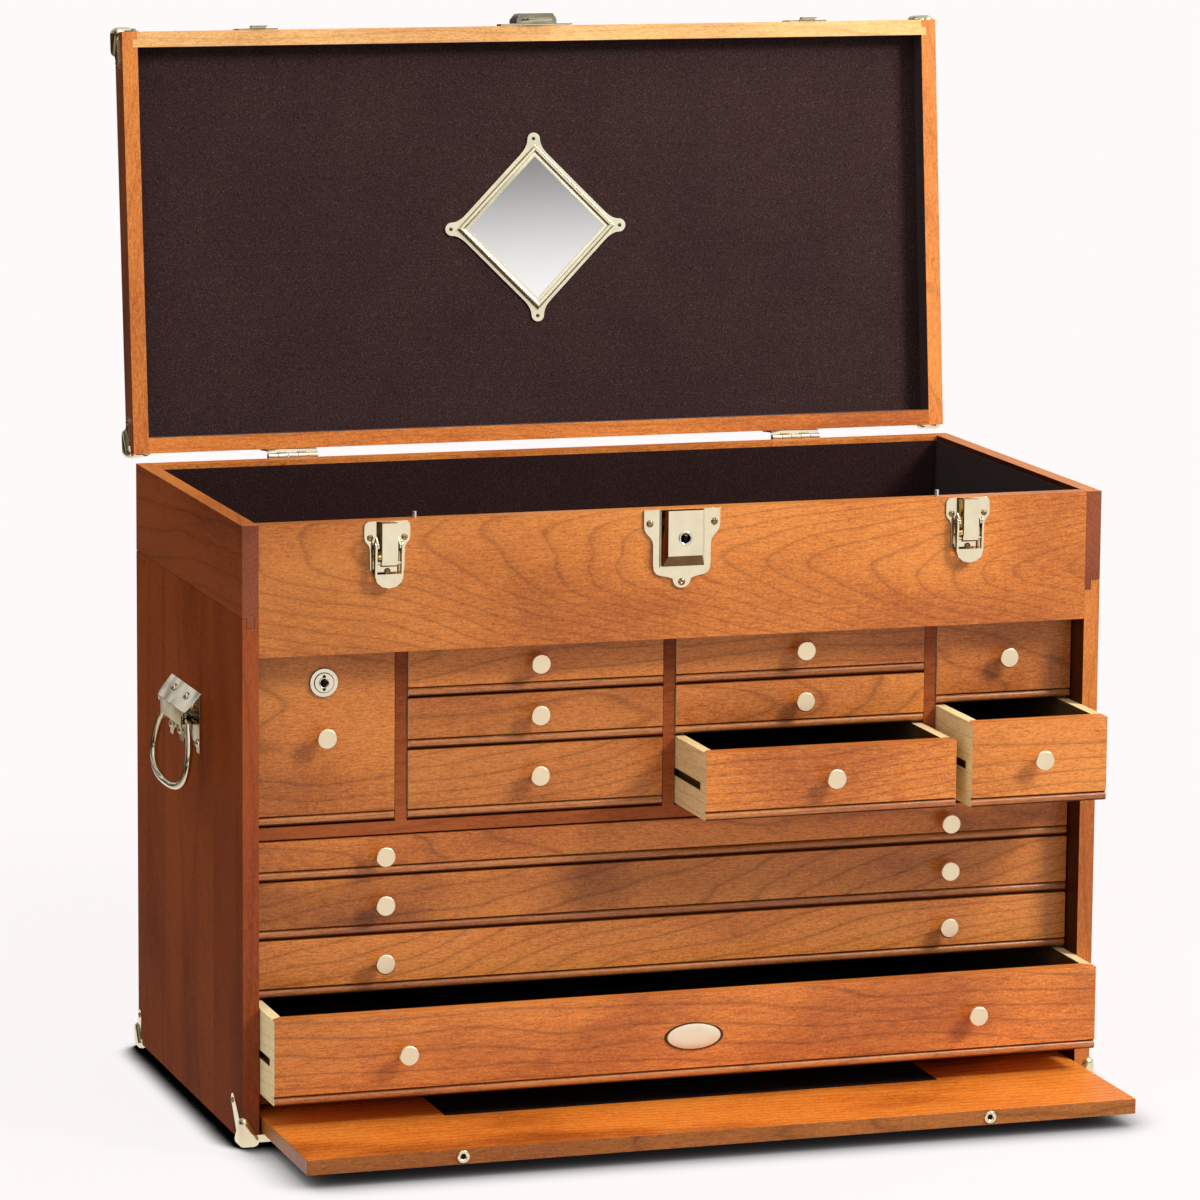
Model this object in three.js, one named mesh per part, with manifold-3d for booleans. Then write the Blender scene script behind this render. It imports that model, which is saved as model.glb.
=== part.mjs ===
// A carpenter's tool chest in cherry: a lined till under a hinged lid, thirteen drawers on
// wooden runners, and a front panel that is stored in a slot under the drawers.
// Millimetres. X runs to the right along the front, +Y to the back, +Z up. The origin is
// the centre of the footprint, on the surface that the corner guards stand on.

import * as THREE from 'three';
import { mergeVertices } from 'three/addons/utils/BufferGeometryUtils.js';
import Module from 'manifold-3d';

const wasm = await Module();
wasm.setup();

// Case boards
const caseWidth = 700;
const caseDepth = 340;
const caseHeight = 479;
const boardThickness = 12.7;
const frontBoardHeight = 102;
const seamHeight = 408;
const seamWidth = 0.9;
const seamDepth = 0.6;
const jointWidth = 0.5;
const jointDepth = 0.4;
const jointDrop = 7.5;
const leftTongueShares = [0.26, 0.76];
const rightTongueShares = [0.6, 1];
const footHeight = 4;

// Shelves, dividers and the slot of the front panel
const bottomBoardThickness = 6.35;
const bottomBoardInset = 0.6;
const slotHeight = 16.5;
const slotRailDepth = 9.5;
const lowerShelfThickness = 12.7;
const middleShelfThickness = 9.6;
const wideBayHeight = 194.7;
const dividerThickness = 9.5;
const endColumnWidth = 115.05;
const frameSetback = 25.6;
const tillFloorThickness = 6.35;
const tillFloorRise = 0.5;

// Drawers and their runners
const drawerSetback = 24.2;
const drawerLength = 297;
const drawerSideGap = 0.8;
const drawerFrontGap = 1.6;
const drawerFootGap = 2.2;
const frontThickness = 14;
const sideThickness = 8.5;
const drawerBackThickness = 8.5;
const drawerFloorThickness = 5;
const beadHeight = 6.4;
const beadDepth = 2.4;
const quirkWidth = 1.2;
const quirkDepth = 2;
const grooveHeight = 6.1;
const grooveDepth = 4;
const grooveHeightShare = 0.47;
const runnerPlay = 0.4;
const runnerSideGap = 0.8;
const pulledCentre = 73.3;
const pulledEnd = 78.6;
const pulledDeep = 66.5;
const wideKnobInset = 103.5;
const wideKnobShare = 0.53;

// Turned knob
const knob = {
  faceRadius: 8,
  faceThickness: 3.4,
  stemRadius: 2.7,
  footRadius: 4,
  footLength: 1.4,
  length: 12,
  edge: 0.7,
};

// Front panel, lying in its slot, and the two pins that lock it when the lid is shut
const panel = {
  sideGap: 2.3,
  thickness: 12,
  topGap: 0.7,
  play: 0.3,
  out: 131.4,
  eyeletBore: 2.3,
  eyeletDepth: 14,
};
const lockPin = {
  endInset: 137,
  radius: 1.8,
  play: 0.35,
  stand: 5.3,
  sink: 5.4,
};

// Lid
const lidHeight = 25.4;
const lidPanelThickness = 6.35;
const lidGap = 0.4;
const lidOpenAngle = 95.83;
const lidPieceGap = 0.3;

// Butt hinges with the barrel clear of the back
const hinge = {
  endInset: 132.5,
  length: 42,
  knuckles: 5,
  knuckleGap: 0.3,
  barrelRadius: 3.1,
  pinRadius: 1.2,
  pinPlay: 0.3,
  offset: 6.3,
  leafThickness: 1.6,
  leafHeight: 22,
  webThickness: 1.8,
  webDrop: 1.5,
  barrelPlay: 0.5,
};

// Draw latch: a plate with two ears, a stirrup lever and a drawn hook
const latch = {
  endInset: 113.5,
  plateWidth: 36.4,
  plateThickness: 1.2,
  plateTop: 0.5,
  shoulderHeight: 12.5,
  neckHeight: 22,
  neckWidth: 27.8,
  cornerHeight: 38,
  cornerWidth: 27,
  footWidth: 15,
  plateHeight: 46,
  plateCorner: 5,
  earInner: 8,
  earThickness: 1.2,
  earReach: 8,
  earHeight: 14,
  pivotOut: 5,
  pivotDrop: 19,
  pivotRadius: 1.3,
  pivotPlay: 0.3,
  armGap: 0.4,
  armThickness: 1.6,
  armWidth: 6.4,
  tabTop: 42,
  tabHeight: 9.5,
  tabThickness: 1.5,
  tabOut: 7.2,
  linkDrop: 32,
  linkOut: 5.4,
  hookWidth: 12.6,
  hookThickness: 1.2,
  hookOut: 9.6,
  hookTop: 1,
  hookFlange: 2.6,
  hookTip: 4.2,
  eyeRadius: 2.9,
};
const latchCatch = {
  width: 33.4,
  thickness: 1.2,
  top: 18,
  foot: 1,
  lipWidth: 13,
  lipOut: 3.4,
  lipDrop: 4,
  lipGap: 2.2,
};

// Lock of the lid: shield plate with a bevelled housing, and the hasp above it
const lock = {
  plateWidth: 62,
  waistWidth: 47,
  plateThickness: 1.5,
  top: 0.5,
  shoulderHeight: 13,
  waistHeight: 28,
  cornerHeight: 43.5,
  plateHeight: 62,
  tipRadius: 7.4,
  plinthStep: 1,
  plinthOut: 2.6,
  housingWidth: 34.2,
  housingHeight: 44.4,
  housingWall: 5,
  housingOut: 10,
  bevel: 3.2,
  lowerBevel: 8.6,
  keyDrop: 22,
  ringRadius: 5,
  ringOut: 0.6,
  plugRadius: 3.9,
  plugPlay: 0.3,
  plugDepth: 5,
  keyWidth: 1.6,
  keyDepth: 2.5,
  slotWidth: 23,
  slotOut: 6.6,
  slotIn: 2.4,
  slotDepth: 13,
};
const hasp = {
  plateWidth: 62,
  plateThickness: 1.5,
  foot: 1.2,
  height: 21,
  boxWidth: 34.2,
  boxWall: 5,
  boxOut: 10,
  tongueWidth: 20,
  tongueOut: 5.5,
  tongueThickness: 1.9,
  tongueDrop: 9,
};

// Cam lock of the till drawer
const camLock = {
  drop: 24.3,
  ringRadius: 11.2,
  ringOut: 1.8,
  plugRadius: 7.6,
  plugPlay: 0.3,
  plugOut: 2.4,
  plugDepth: 6,
  keyWidth: 1.6,
  keyDepth: 2.4,
  knobDrop: 66.5,
};

// Lift handles on the sides
const handle = {
  height: 305,
  back: 5,
  length: 94,
  sheet: 1.5,
  roofTop: 22.5,
  roofOut: 12.8,
  roofDrop: 7,
  lipDrop: 5.2,
  lipWidth: 67,
  endDrop: 3.6,
  roofCorner: 7,
  flangeDrop: 25,
  scallopSpread: 28,
  scallopRadius: 10.5,
  scallopLow: 3,
  axisOut: 7.5,
  bailRadius: 3.1,
  topWidth: 66,
  bailCorner: 8,
  bailWidth: 108,
  bailDrop: 56,
  bailWidestShare: 0.62,
  bailLean: 9,
};

// Mirror in the lid, a square set on its corner: radii are half diagonals
const mirror = {
  height: 174.6,
  outer: 71.8,
  glass: 58.5,
  flange: 1.2,
  mould: 4.6,
  rabbet: 2.6,
  seat: 2.2,
  glassThickness: 2,
  earRadius: 5.4,
  earReach: 72.5,
  earSpread: 12,
};
// Section of the moulding, from its outer edge in: shares of the band's width, and of the
// height between the flange and the top.
const mouldingShares = [[0.25, 0], [0.29, 0.45], [0.36, 0.8], [0.46, 1], [0.58, 0.98], [0.68, 0.8], [0.76, 0.5]];

// Pressed metal corner guards
const guard = {
  thickness: 1.4,
  tipRadius: 4.6,
  underTip: [14, 14],
  shoulder: 11,
  capRadius: 5,
  capProud: 4,
};
const caseFrontGuard = {
  capReach: [8, 11, 15],
  sideTip: [27, 24],
  faceTip: [21, 0],
  faceTipRadius: 2.9,
  faceShoulder: 5.8,
};
const caseBackGuard = {
  capReach: [11, 8, 12],
  sideTip: [10, 20],
  faceTip: [10, 20],
  faceTipRadius: 4.6,
  faceShoulder: 11,
};
const lidGuard = {
  capReach: [11, 15, 10],
  sideTip: [25, 7],
  faceTip: [13, 7],
  faceTipRadius: 4.6,
  faceShoulder: 9,
};

// Fineness of round shapes, and how far a cutting solid runs past what it cuts
const roundSegments = 20;
const smallSegments = 12;
const arcSteps = 6;
const overrun = 3;
const weld = 1e-4;

// Planes that the boards share
const frontY = -caseDepth / 2;
const backY = caseDepth / 2;
const insideX = caseWidth / 2 - boardThickness;
const dividerSpacing = insideX - endColumnWidth - dividerThickness / 2;
const hingeX = caseWidth / 2 - hinge.endInset;
const latchX = caseWidth / 2 - latch.endInset;
const lockPinX = caseWidth / 2 - lockPin.endInset;
const insideBackY = backY - boardThickness;
const insideFrontY = frontY + boardThickness;
const topZ = footHeight + caseHeight;
const frontBoardZ = topZ - frontBoardHeight;
const bottomBoardTop = footHeight + bottomBoardThickness;
const lowerShelfZ = bottomBoardTop + slotHeight;
const lowerShelfTop = lowerShelfZ + lowerShelfThickness;
const middleShelfZ = lowerShelfTop + wideBayHeight;
const middleShelfTop = middleShelfZ + middleShelfThickness;
const tillFloorZ = frontBoardZ + tillFloorRise;
const frameFrontY = frontY + frameSetback;
const drawerFrontY = frontY + drawerSetback;
const panelHeight = frontBoardZ - bottomBoardTop - panel.topGap;
const hingeY = backY + hinge.offset;
const hingeZ = topZ + lidGap / 2;

const cherry = new THREE.MeshStandardMaterial({ color: 0xb5652b, roughness: 0.45, metalness: 0 });
const brass = new THREE.MeshStandardMaterial({ color: 0xe4cf9a, roughness: 0.25, metalness: 1 });
const nickel = new THREE.MeshStandardMaterial({ color: 0xb9b6a8, roughness: 0.2, metalness: 1 });
const silvered = new THREE.MeshStandardMaterial({ color: 0xd6d8da, roughness: 0.05, metalness: 1 });

// A closed geometry becomes a solid that can be joined and cut.
function solid(geometry) {
  for (const attribute of Object.keys(geometry.attributes)) {
    if (attribute !== 'position') geometry.deleteAttribute(attribute);
  }
  const merged = mergeVertices(geometry, weld);
  return new wasm.Manifold(new wasm.Mesh({
    numProp: 3,
    vertProperties: new Float32Array(merged.attributes.position.array),
    triVerts: new Uint32Array(merged.index.array),
  }));
}

function geometryOf(body) {
  const mesh = body.getMesh();
  const geometry = new THREE.BufferGeometry();
  geometry.setAttribute('position', new THREE.BufferAttribute(mesh.vertProperties, mesh.numProp));
  geometry.setIndex(new THREE.BufferAttribute(mesh.triVerts, 1));
  return geometry;
}

function join(solids) {
  return solids.reduce((whole, piece) => whole.add(piece));
}

function cut(body, tools) {
  return tools.reduce((rest, tool) => rest.subtract(tool), body);
}

// A block between two ends on each axis, in either order.
function block(xs, ys, zs) {
  const size = [xs, ys, zs].map(([a, b]) => Math.abs(b - a));
  const centre = [xs, ys, zs].map(([a, b]) => (a + b) / 2);
  const geometry = new THREE.BoxGeometry(...size);
  geometry.translate(...centre);
  return solid(geometry);
}

function outline(points) {
  return new THREE.Shape(points.map(([a, b]) => new THREE.Vector2(a, b)));
}

// A flat plate on a front face: the outline is in X and Z, and the plate lies between
// two distances in front of the plane Y = 0.
function frontPlate(shape, inner, outer) {
  const geometry = new THREE.ExtrudeGeometry(shape, {
    depth: outer - inner,
    bevelEnabled: false,
    curveSegments: arcSteps,
  });
  geometry.rotateX(Math.PI / 2);
  geometry.translate(0, -inner, 0);
  return solid(geometry);
}

// A bar with its section in Y and Z, from one X to another.
function barAlongX(shape, fromX, toX) {
  const geometry = new THREE.ExtrudeGeometry(shape, {
    depth: toX - fromX,
    bevelEnabled: false,
    curveSegments: arcSteps,
  });
  geometry.applyMatrix4(new THREE.Matrix4().makeBasis(
    new THREE.Vector3(0, 1, 0),
    new THREE.Vector3(0, 0, 1),
    new THREE.Vector3(1, 0, 0),
  ));
  geometry.translate(fromX, 0, 0);
  return solid(geometry);
}

// A bar with its section in X and Z, centred on Y = 0.
function barAlongY(shape, length) {
  const geometry = new THREE.ExtrudeGeometry(shape, { depth: length, bevelEnabled: false });
  geometry.rotateX(Math.PI / 2);
  geometry.translate(0, length / 2, 0);
  return solid(geometry);
}

function rodAlongX(radius, fromX, toX, y, z, segments = smallSegments) {
  const geometry = new THREE.CylinderGeometry(radius, radius, Math.abs(toX - fromX), segments);
  geometry.rotateZ(Math.PI / 2);
  geometry.translate((fromX + toX) / 2, y, z);
  return solid(geometry);
}

function rodAlongY(radius, fromY, toY, x, z, segments = roundSegments) {
  const geometry = new THREE.CylinderGeometry(radius, radius, Math.abs(toY - fromY), segments);
  geometry.translate(x, (fromY + toY) / 2, z);
  return solid(geometry);
}

function rodAlongZ(radius, fromZ, toZ, x, y, segments = smallSegments) {
  const geometry = new THREE.CylinderGeometry(radius, radius, Math.abs(toZ - fromZ), segments);
  geometry.rotateX(Math.PI / 2);
  geometry.translate(x, y, (fromZ + toZ) / 2);
  return solid(geometry);
}

// Copies a solid, shifted, and mirrored on the axes whose sign is -1.
function placed(body, shift, signs = [1, 1, 1]) {
  const geometry = geometryOf(body);
  geometry.scale(...signs);
  if (signs[0] * signs[1] * signs[2] < 0) {
    const index = geometry.index.array;
    for (let corner = 0; corner < index.length; corner += 3) {
      [index[corner], index[corner + 1]] = [index[corner + 1], index[corner]];
    }
  }
  geometry.translate(...shift);
  return solid(geometry);
}

function part(name, body, material, position = [0, 0, 0]) {
  const geometry = geometryOf(body).toNonIndexed();
  geometry.computeVertexNormals();
  const mesh = new THREE.Mesh(geometry, material);
  mesh.name = name;
  mesh.position.set(...position);
  return mesh;
}

// Points of an arc, for outlines.
function arc(centreA, centreB, radius, fromAngle, toAngle, steps = arcSteps) {
  return Array.from({ length: steps + 1 }, (_, step) => {
    const angle = fromAngle + (toAngle - fromAngle) * step / steps;
    return [centreA + radius * Math.cos(angle), centreB + radius * Math.sin(angle)];
  });
}

// One drawer stack between two upright faces, from the shelf under it to what is over it.
// The heights are shares of what the gaps leave, from the lowest drawer up.
const dividerHalf = dividerThickness / 2;
const columnShelf = { bottom: middleShelfTop + drawerFrontGap, top: tillFloorZ };
const stacks = [
  {
    lowX: -insideX,
    highX: -dividerSpacing - dividerHalf,
    ...columnShelf,
    heightShares: [1],
    drawers: [{ name: 'till_drawer', pulled: 0 }],
  },
  {
    lowX: -dividerSpacing + dividerHalf,
    highX: -dividerHalf,
    ...columnShelf,
    heightShares: [0.406, 0.296, 0.298],
    drawers: [
      { name: 'left_column_bottom_drawer', pulled: 0 },
      { name: 'left_column_middle_drawer', pulled: 0 },
      { name: 'left_column_top_drawer', pulled: 0 },
    ],
  },
  {
    lowX: dividerHalf,
    highX: dividerSpacing - dividerHalf,
    ...columnShelf,
    heightShares: [0.406, 0.296, 0.298],
    drawers: [
      { name: 'right_column_bottom_drawer', pulled: pulledCentre },
      { name: 'right_column_middle_drawer', pulled: 0 },
      { name: 'right_column_top_drawer', pulled: 0 },
    ],
  },
  {
    lowX: dividerSpacing + dividerHalf,
    highX: insideX,
    ...columnShelf,
    heightShares: [0.503, 0.497],
    drawers: [
      { name: 'end_lower_drawer', pulled: pulledEnd },
      { name: 'end_upper_drawer', pulled: 0 },
    ],
  },
  {
    lowX: -insideX,
    highX: insideX,
    bottom: lowerShelfTop + drawerFootGap,
    top: middleShelfZ,
    heightShares: [0.359, 0.24, 0.2375, 0.1635],
    drawers: [
      { name: 'deep_drawer', pulled: pulledDeep, twoKnobs: true },
      { name: 'wide_drawer_bottom', pulled: 0, twoKnobs: true },
      { name: 'wide_drawer_middle', pulled: 0, twoKnobs: true },
      { name: 'wide_drawer_top', pulled: 0, twoKnobs: true },
    ],
  },
];

// Works out where each drawer of a stack lies.
function placedDrawers(stack) {
  const free = stack.top - stack.bottom - drawerFrontGap * stack.drawers.length;
  let bottom = stack.bottom;
  return stack.drawers.map((drawer, level) => {
    const height = free * stack.heightShares[level];
    const place = {
      ...drawer,
      height,
      bottom,
      x: (stack.lowX + stack.highX) / 2,
      width: stack.highX - stack.lowX - 2 * drawerSideGap,
      grooveZ: bottom + height * grooveHeightShare,
    };
    bottom += height + drawerFrontGap;
    return place;
  });
}

// The runners of a stack on one of its two upright faces.
function runners(stack, faceX, inward) {
  const runnerY = [drawerFrontY + frontThickness + drawerSideGap, insideBackY];
  const reach = drawerSideGap + grooveDepth - runnerSideGap;
  const half = grooveHeight / 2 - runnerPlay;
  return placedDrawers(stack).map(({ grooveZ }) => block(
    [faceX, faceX + inward * reach],
    runnerY,
    [grooveZ - half, grooveZ + half],
  ));
}

// A corner guard on a corner whose wood lies in the positive octant: a rounded cap over the
// corner, and a lobe on each face, drawn out to its tip.
function cornerGuard({ capReach, sideTip, faceTip, faceTipRadius, faceShoulder }, flatAt) {
  const lobe = ([tipA, tipB], tipRadius, shoulderA, shoulderB) => {
    const lean = Math.atan2(tipB, tipA);
    const quarter = Math.PI / 2;
    return outline([
      [0, 0],
      [shoulderA, 0],
      ...arc(tipA, tipB + tipRadius, tipRadius, lean - quarter, lean + quarter),
      [0, shoulderB],
    ]);
  };
  const plate = (shape) => new THREE.ExtrudeGeometry(shape, { depth: guard.thickness, bevelEnabled: false });
  const side = plate(lobe(sideTip, guard.tipRadius, guard.shoulder, guard.shoulder));
  side.applyMatrix4(new THREE.Matrix4().makeBasis(
    new THREE.Vector3(0, 1, 0),
    new THREE.Vector3(0, 0, 1),
    new THREE.Vector3(1, 0, 0),
  ));
  side.translate(-guard.thickness, 0, 0);
  const face = plate(lobe(faceTip, faceTipRadius, guard.shoulder, faceShoulder));
  face.rotateX(Math.PI / 2);
  const under = plate(lobe(guard.underTip, guard.tipRadius, guard.shoulder, guard.shoulder));
  under.translate(0, 0, -guard.thickness);
  const inset = guard.capRadius - guard.capProud;
  const rounds = [[0, 0, 0], [1, 0, 0], [0, 1, 0], [0, 0, 1]].map((along) => {
    const ball = new THREE.SphereGeometry(guard.capRadius, smallSegments, smallSegments / 2);
    ball.translate(...along.map((share, axis) => inset + share * (capReach[axis] - inset)));
    return solid(ball);
  });
  const cap = wasm.Manifold.hull(rounds);
  const reach = Math.max(...capReach) + guard.capRadius + overrun;
  const whole = join([...[side, face, under].map(solid), cap]);
  const belowFloor = block([-reach, reach], [-reach, reach], [-flatAt - reach, -flatAt]);
  const besideBoard = block([boardThickness, reach], [0, reach], [0, reach]);
  return cut(whole, [belowFloor, besideBoard]);
}

function caseGuards(side) {
  const corner = side * caseWidth / 2;
  return [
    placed(cornerGuard(caseFrontGuard, footHeight), [corner, frontY, footHeight], [-side, 1, 1]),
    placed(cornerGuard(caseBackGuard, footHeight), [corner, backY, footHeight], [-side, -1, 1]),
  ];
}

// A side: upper board over lower staves, a fine seam between them, the runners of the
// stacks beside it and a guard at each foot. side is -1 on the left and 1 on the right.
function caseSide(side) {
  const outer = side * caseWidth / 2;
  const inner = side * insideX;
  const board = block([outer, inner], [frontY, backY], [footHeight, topZ]);
  const seamZ = footHeight + seamHeight;
  const seam = barAlongY(outline([
    [outer - side * seamDepth, seamZ],
    [outer + side * overrun, seamZ + seamWidth / 2 * (overrun + seamDepth) / seamDepth],
    [outer + side * overrun, seamZ - seamWidth / 2 * (overrun + seamDepth) / seamDepth],
  ]), caseDepth + overrun);
  const shares = side < 0 ? leftTongueShares : rightTongueShares;
  const edgeLines = [frontY, backY].flatMap((faceY) => tongueLine(side, shares, faceY));
  const beside = stacks.filter((stack) => (side < 0 ? stack.lowX === inner : stack.highX === inner));
  const strips = beside.flatMap((stack) => runners(stack, inner, -side));
  return join([cut(board, [seam, ...edgeLines]), ...strips, ...caseGuards(side)]);
}

// The line where the upper board's tongue enters the staves, as it shows on an edge face.
// The shares tell where the tongue lies, from the outer face to the inner one.
function tongueLine(side, [from, to], faceY) {
  const seamZ = footHeight + seamHeight;
  const lowZ = seamZ - jointDrop;
  const across = (share) => side * (caseWidth / 2 - share * boardThickness);
  const half = jointWidth / 2;
  const line = (a, b, zs) => block(
    [Math.min(a, b) - half, Math.max(a, b) + half],
    [faceY - jointDepth, faceY + jointDepth],
    zs,
  );
  const level = (a, b, z) => line(across(a), across(b), [z - half, z + half]);
  const upright = (share) => line(across(share), across(share), [lowZ - half, seamZ + half]);
  const lines = [level(0, from, seamZ), upright(from), level(from, to, lowZ)];
  if (to < 1) lines.push(upright(to), level(to, 1, seamZ));
  return lines;
}

function frontBoard() {
  const board = block([-insideX, insideX], [frontY, insideFrontY], [frontBoardZ, topZ]);
  const bores = [-1, 1].map((side) => rodAlongZ(
    lockPin.radius + lockPin.play,
    frontBoardZ - overrun,
    topZ + overrun,
    side * lockPinX,
    frontY + boardThickness / 2,
  ));
  return cut(board, bores);
}

// Till floor, three dividers and the middle shelf, glued up as one frame.
function drawerFrame() {
  const boards = [
    block([-insideX, insideX], [insideFrontY, insideBackY], [tillFloorZ, tillFloorZ + tillFloorThickness]),
    block([-insideX, insideX], [frameFrontY, insideBackY], [middleShelfZ, middleShelfTop]),
  ];
  for (const centre of [-dividerSpacing, 0, dividerSpacing]) {
    boards.push(block(
      [centre - dividerHalf, centre + dividerHalf],
      [frameFrontY, insideBackY],
      [middleShelfTop, tillFloorZ],
    ));
  }
  for (const stack of stacks) {
    if (stack.lowX !== -insideX) boards.push(...runners(stack, stack.lowX, 1));
    if (stack.highX !== insideX) boards.push(...runners(stack, stack.highX, -1));
  }
  return join(boards);
}

// Bottom board and lower shelf, with the rail between them at the back of the slot.
function slotFrame() {
  return join([
    block([-insideX, insideX], [frontY + bottomBoardInset, insideBackY], [footHeight, bottomBoardTop]),
    block([-insideX, insideX], [frameFrontY, insideBackY], [lowerShelfZ, lowerShelfTop]),
    block([-insideX, insideX], [insideBackY - slotRailDepth, insideBackY], [bottomBoardTop, lowerShelfZ]),
  ]);
}

// The drawer front's section: a quirk and a round bead run along its lower edge.
function drawerFront(width, height) {
  const beadHalf = beadHeight / 2;
  const bead = arc(0, 0, 1, -Math.PI / 2, -3 * Math.PI / 2).map(([a, b]) => [
    beadDepth + a * beadDepth,
    beadHalf + b * beadHalf,
  ]);
  return barAlongX(outline([
    [frontThickness, 0],
    [frontThickness, height],
    [0, height],
    [0, beadHeight + quirkWidth],
    [quirkDepth, beadHeight + quirkWidth],
    [quirkDepth, beadHeight],
    ...bead.reverse(),
  ]), -width / 2, width / 2);
}

// A drawer, with its front face at Y = 0, its lower edge at Z = 0 and X = 0 in its middle.
function drawerBox({ width, height }) {
  const half = width / 2;
  const body = block([-half, half], [frontThickness / 2, drawerLength], [0, height]);
  const room = block(
    [sideThickness - half, half - sideThickness],
    [frontThickness, drawerLength - drawerBackThickness],
    [drawerFloorThickness, height + overrun],
  );
  const grooveZ = height * grooveHeightShare;
  const grooves = [-1, 1].map((side) => block(
    [side * (half - grooveDepth), side * (half + overrun)],
    [frontThickness, drawerLength + overrun],
    [grooveZ - grooveHeight / 2, grooveZ + grooveHeight / 2],
  ));
  return cut(join([drawerFront(width, height), body]), [room, ...grooves]);
}

function turnedKnob() {
  const { faceRadius, faceThickness, stemRadius, footRadius, footLength, length, edge } = knob;
  const profile = [
    [0, 0],
    [footRadius, 0],
    [stemRadius, footLength],
    [stemRadius, length - faceThickness],
    [faceRadius - edge, length - faceThickness],
    [faceRadius, length - faceThickness + edge],
    [faceRadius, length - edge],
    [faceRadius - edge, length],
    [0, length],
  ];
  const geometry = new THREE.LatheGeometry(
    profile.map(([radius, out]) => new THREE.Vector2(radius, out)),
    roundSegments,
  );
  geometry.rotateX(Math.PI);
  return solid(geometry);
}

// A key plug whose face is out mm in front of Y = 0, with its keyway, centred on X and Z.
function keyPlug(radius, out, depth, keyWidth, keyDepth) {
  const plug = rodAlongY(radius, -out, depth - out, 0, 0);
  const keyway = block([-keyWidth / 2, keyWidth / 2], [-out - overrun, keyDepth - out], [-radius * 0.75, radius / 4]);
  return cut(plug, [keyway]);
}

function camLockRing(height) {
  const z = height - camLock.drop;
  const ring = rodAlongY(camLock.ringRadius, -camLock.ringOut, frontThickness / 2, 0, z);
  const bore = rodAlongY(
    camLock.plugRadius + camLock.plugPlay,
    -camLock.ringOut - overrun,
    camLock.plugDepth - camLock.plugOut + camLock.plugPlay,
    0,
    z,
  );
  return { ring, bore };
}

function addDrawer(chest, place) {
  const group = new THREE.Group();
  group.position.set(place.x, drawerFrontY - place.pulled, place.bottom);
  const flatMiddle = (beadHeight + place.height) / 2;
  let box = drawerBox(place);
  if (place.name === 'till_drawer') {
    const { ring, bore } = camLockRing(place.height);
    box = cut(join([box, ring]), [bore]);
    const plug = keyPlug(camLock.plugRadius, camLock.plugOut, camLock.plugDepth, camLock.keyWidth, camLock.keyDepth);
    group.add(part('till_lock_plug', plug, nickel, [0, 0, place.height - camLock.drop]));
    group.add(part(`${place.name}_knob`, turnedKnob(), brass, [0, 0, place.height - camLock.knobDrop]));
  } else if (place.twoKnobs) {
    const knobX = place.width / 2 - wideKnobInset;
    const knobZ = place.height * wideKnobShare;
    group.add(part(`${place.name}_knob_left`, turnedKnob(), brass, [-knobX, 0, knobZ]));
    group.add(part(`${place.name}_knob_right`, turnedKnob(), brass, [knobX, 0, knobZ]));
  } else {
    group.add(part(`${place.name}_knob`, turnedKnob(), brass, [0, 0, flatMiddle]));
  }
  group.add(part(place.name, box, cherry));
  chest.add(group);
}

// The panel that closes the front, lying in its slot with its upper edge to the front.
function frontPanel() {
  const half = insideX - panel.sideGap;
  const board = block([-half, half], [0, panelHeight], [0, panel.thickness]);
  const bores = [-1, 1].map((side) => rodAlongY(
    panel.eyeletBore,
    -overrun,
    panel.eyeletDepth,
    side * lockPinX,
    panel.thickness / 2,
    smallSegments,
  ));
  return cut(board, bores);
}

function panelPin() {
  const low = frontBoardZ + lockPin.sink;
  return rodAlongZ(lockPin.radius, low, topZ + lockPin.stand, 0, 0);
}

// One leaf of a hinge about the pin at Y = 0, Z = 0: a plate flat on the board, a web out
// to the barrel and the leaf's own knuckles. It is drawn hanging down on the case.
function hingeLeaf(ownsKnuckle, holdsPin, faceGap) {
  const half = hinge.length / 2;
  const faceY = faceGap - hinge.offset;
  const bodies = [
    block([-half, half], [faceY, faceY + hinge.leafThickness], [-hinge.webDrop - hinge.leafHeight, -hinge.webDrop]),
    block(
      [-half, half],
      [faceY, -hinge.barrelRadius - hinge.barrelPlay],
      [-hinge.webDrop - hinge.webThickness, -hinge.webDrop],
    ),
  ];
  const pitch = hinge.length / hinge.knuckles;
  for (let knuckle = 0; knuckle < hinge.knuckles; knuckle += 1) {
    if (!ownsKnuckle(knuckle)) continue;
    const from = -half + knuckle * pitch + hinge.knuckleGap / 2;
    const to = from + pitch - hinge.knuckleGap;
    bodies.push(rodAlongX(hinge.barrelRadius, from, to, 0, 0, roundSegments));
    bodies.push(block([from, to], [faceY, 0], [-hinge.webDrop - hinge.webThickness, -hinge.webDrop]));
  }
  if (holdsPin) return join([...bodies, rodAlongX(hinge.pinRadius, -half, half, 0, 0)]);
  const bore = rodAlongX(hinge.pinRadius + hinge.pinPlay, -half - overrun, half + overrun, 0, 0);
  return cut(join(bodies), [bore]);
}

// The lid, shut, about the hinge pin at Y = 0, Z = 0.
const lidZ = lidGap / 2;
const lidFrontY = -hinge.offset - caseDepth;
const lidBackY = -hinge.offset;

function catchPlate(side) {
  const { width, thickness, top, foot, lipWidth, lipOut, lipDrop, lipGap } = latchCatch;
  const plate = block([-width / 2, width / 2], [-thickness, thickness], [foot, top]);
  const lip = barAlongX(outline([
    [0, foot],
    [0, foot + lipOut],
    [-thickness, foot + lipOut],
    [-lipOut, foot],
    [-lipOut, -lipDrop],
    [-lipGap, -lipDrop],
    [-lipGap, foot],
  ]), -lipWidth / 2, lipWidth / 2);
  return placed(join([plate, lip]), [side * latchX, lidFrontY, lidZ]);
}

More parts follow.
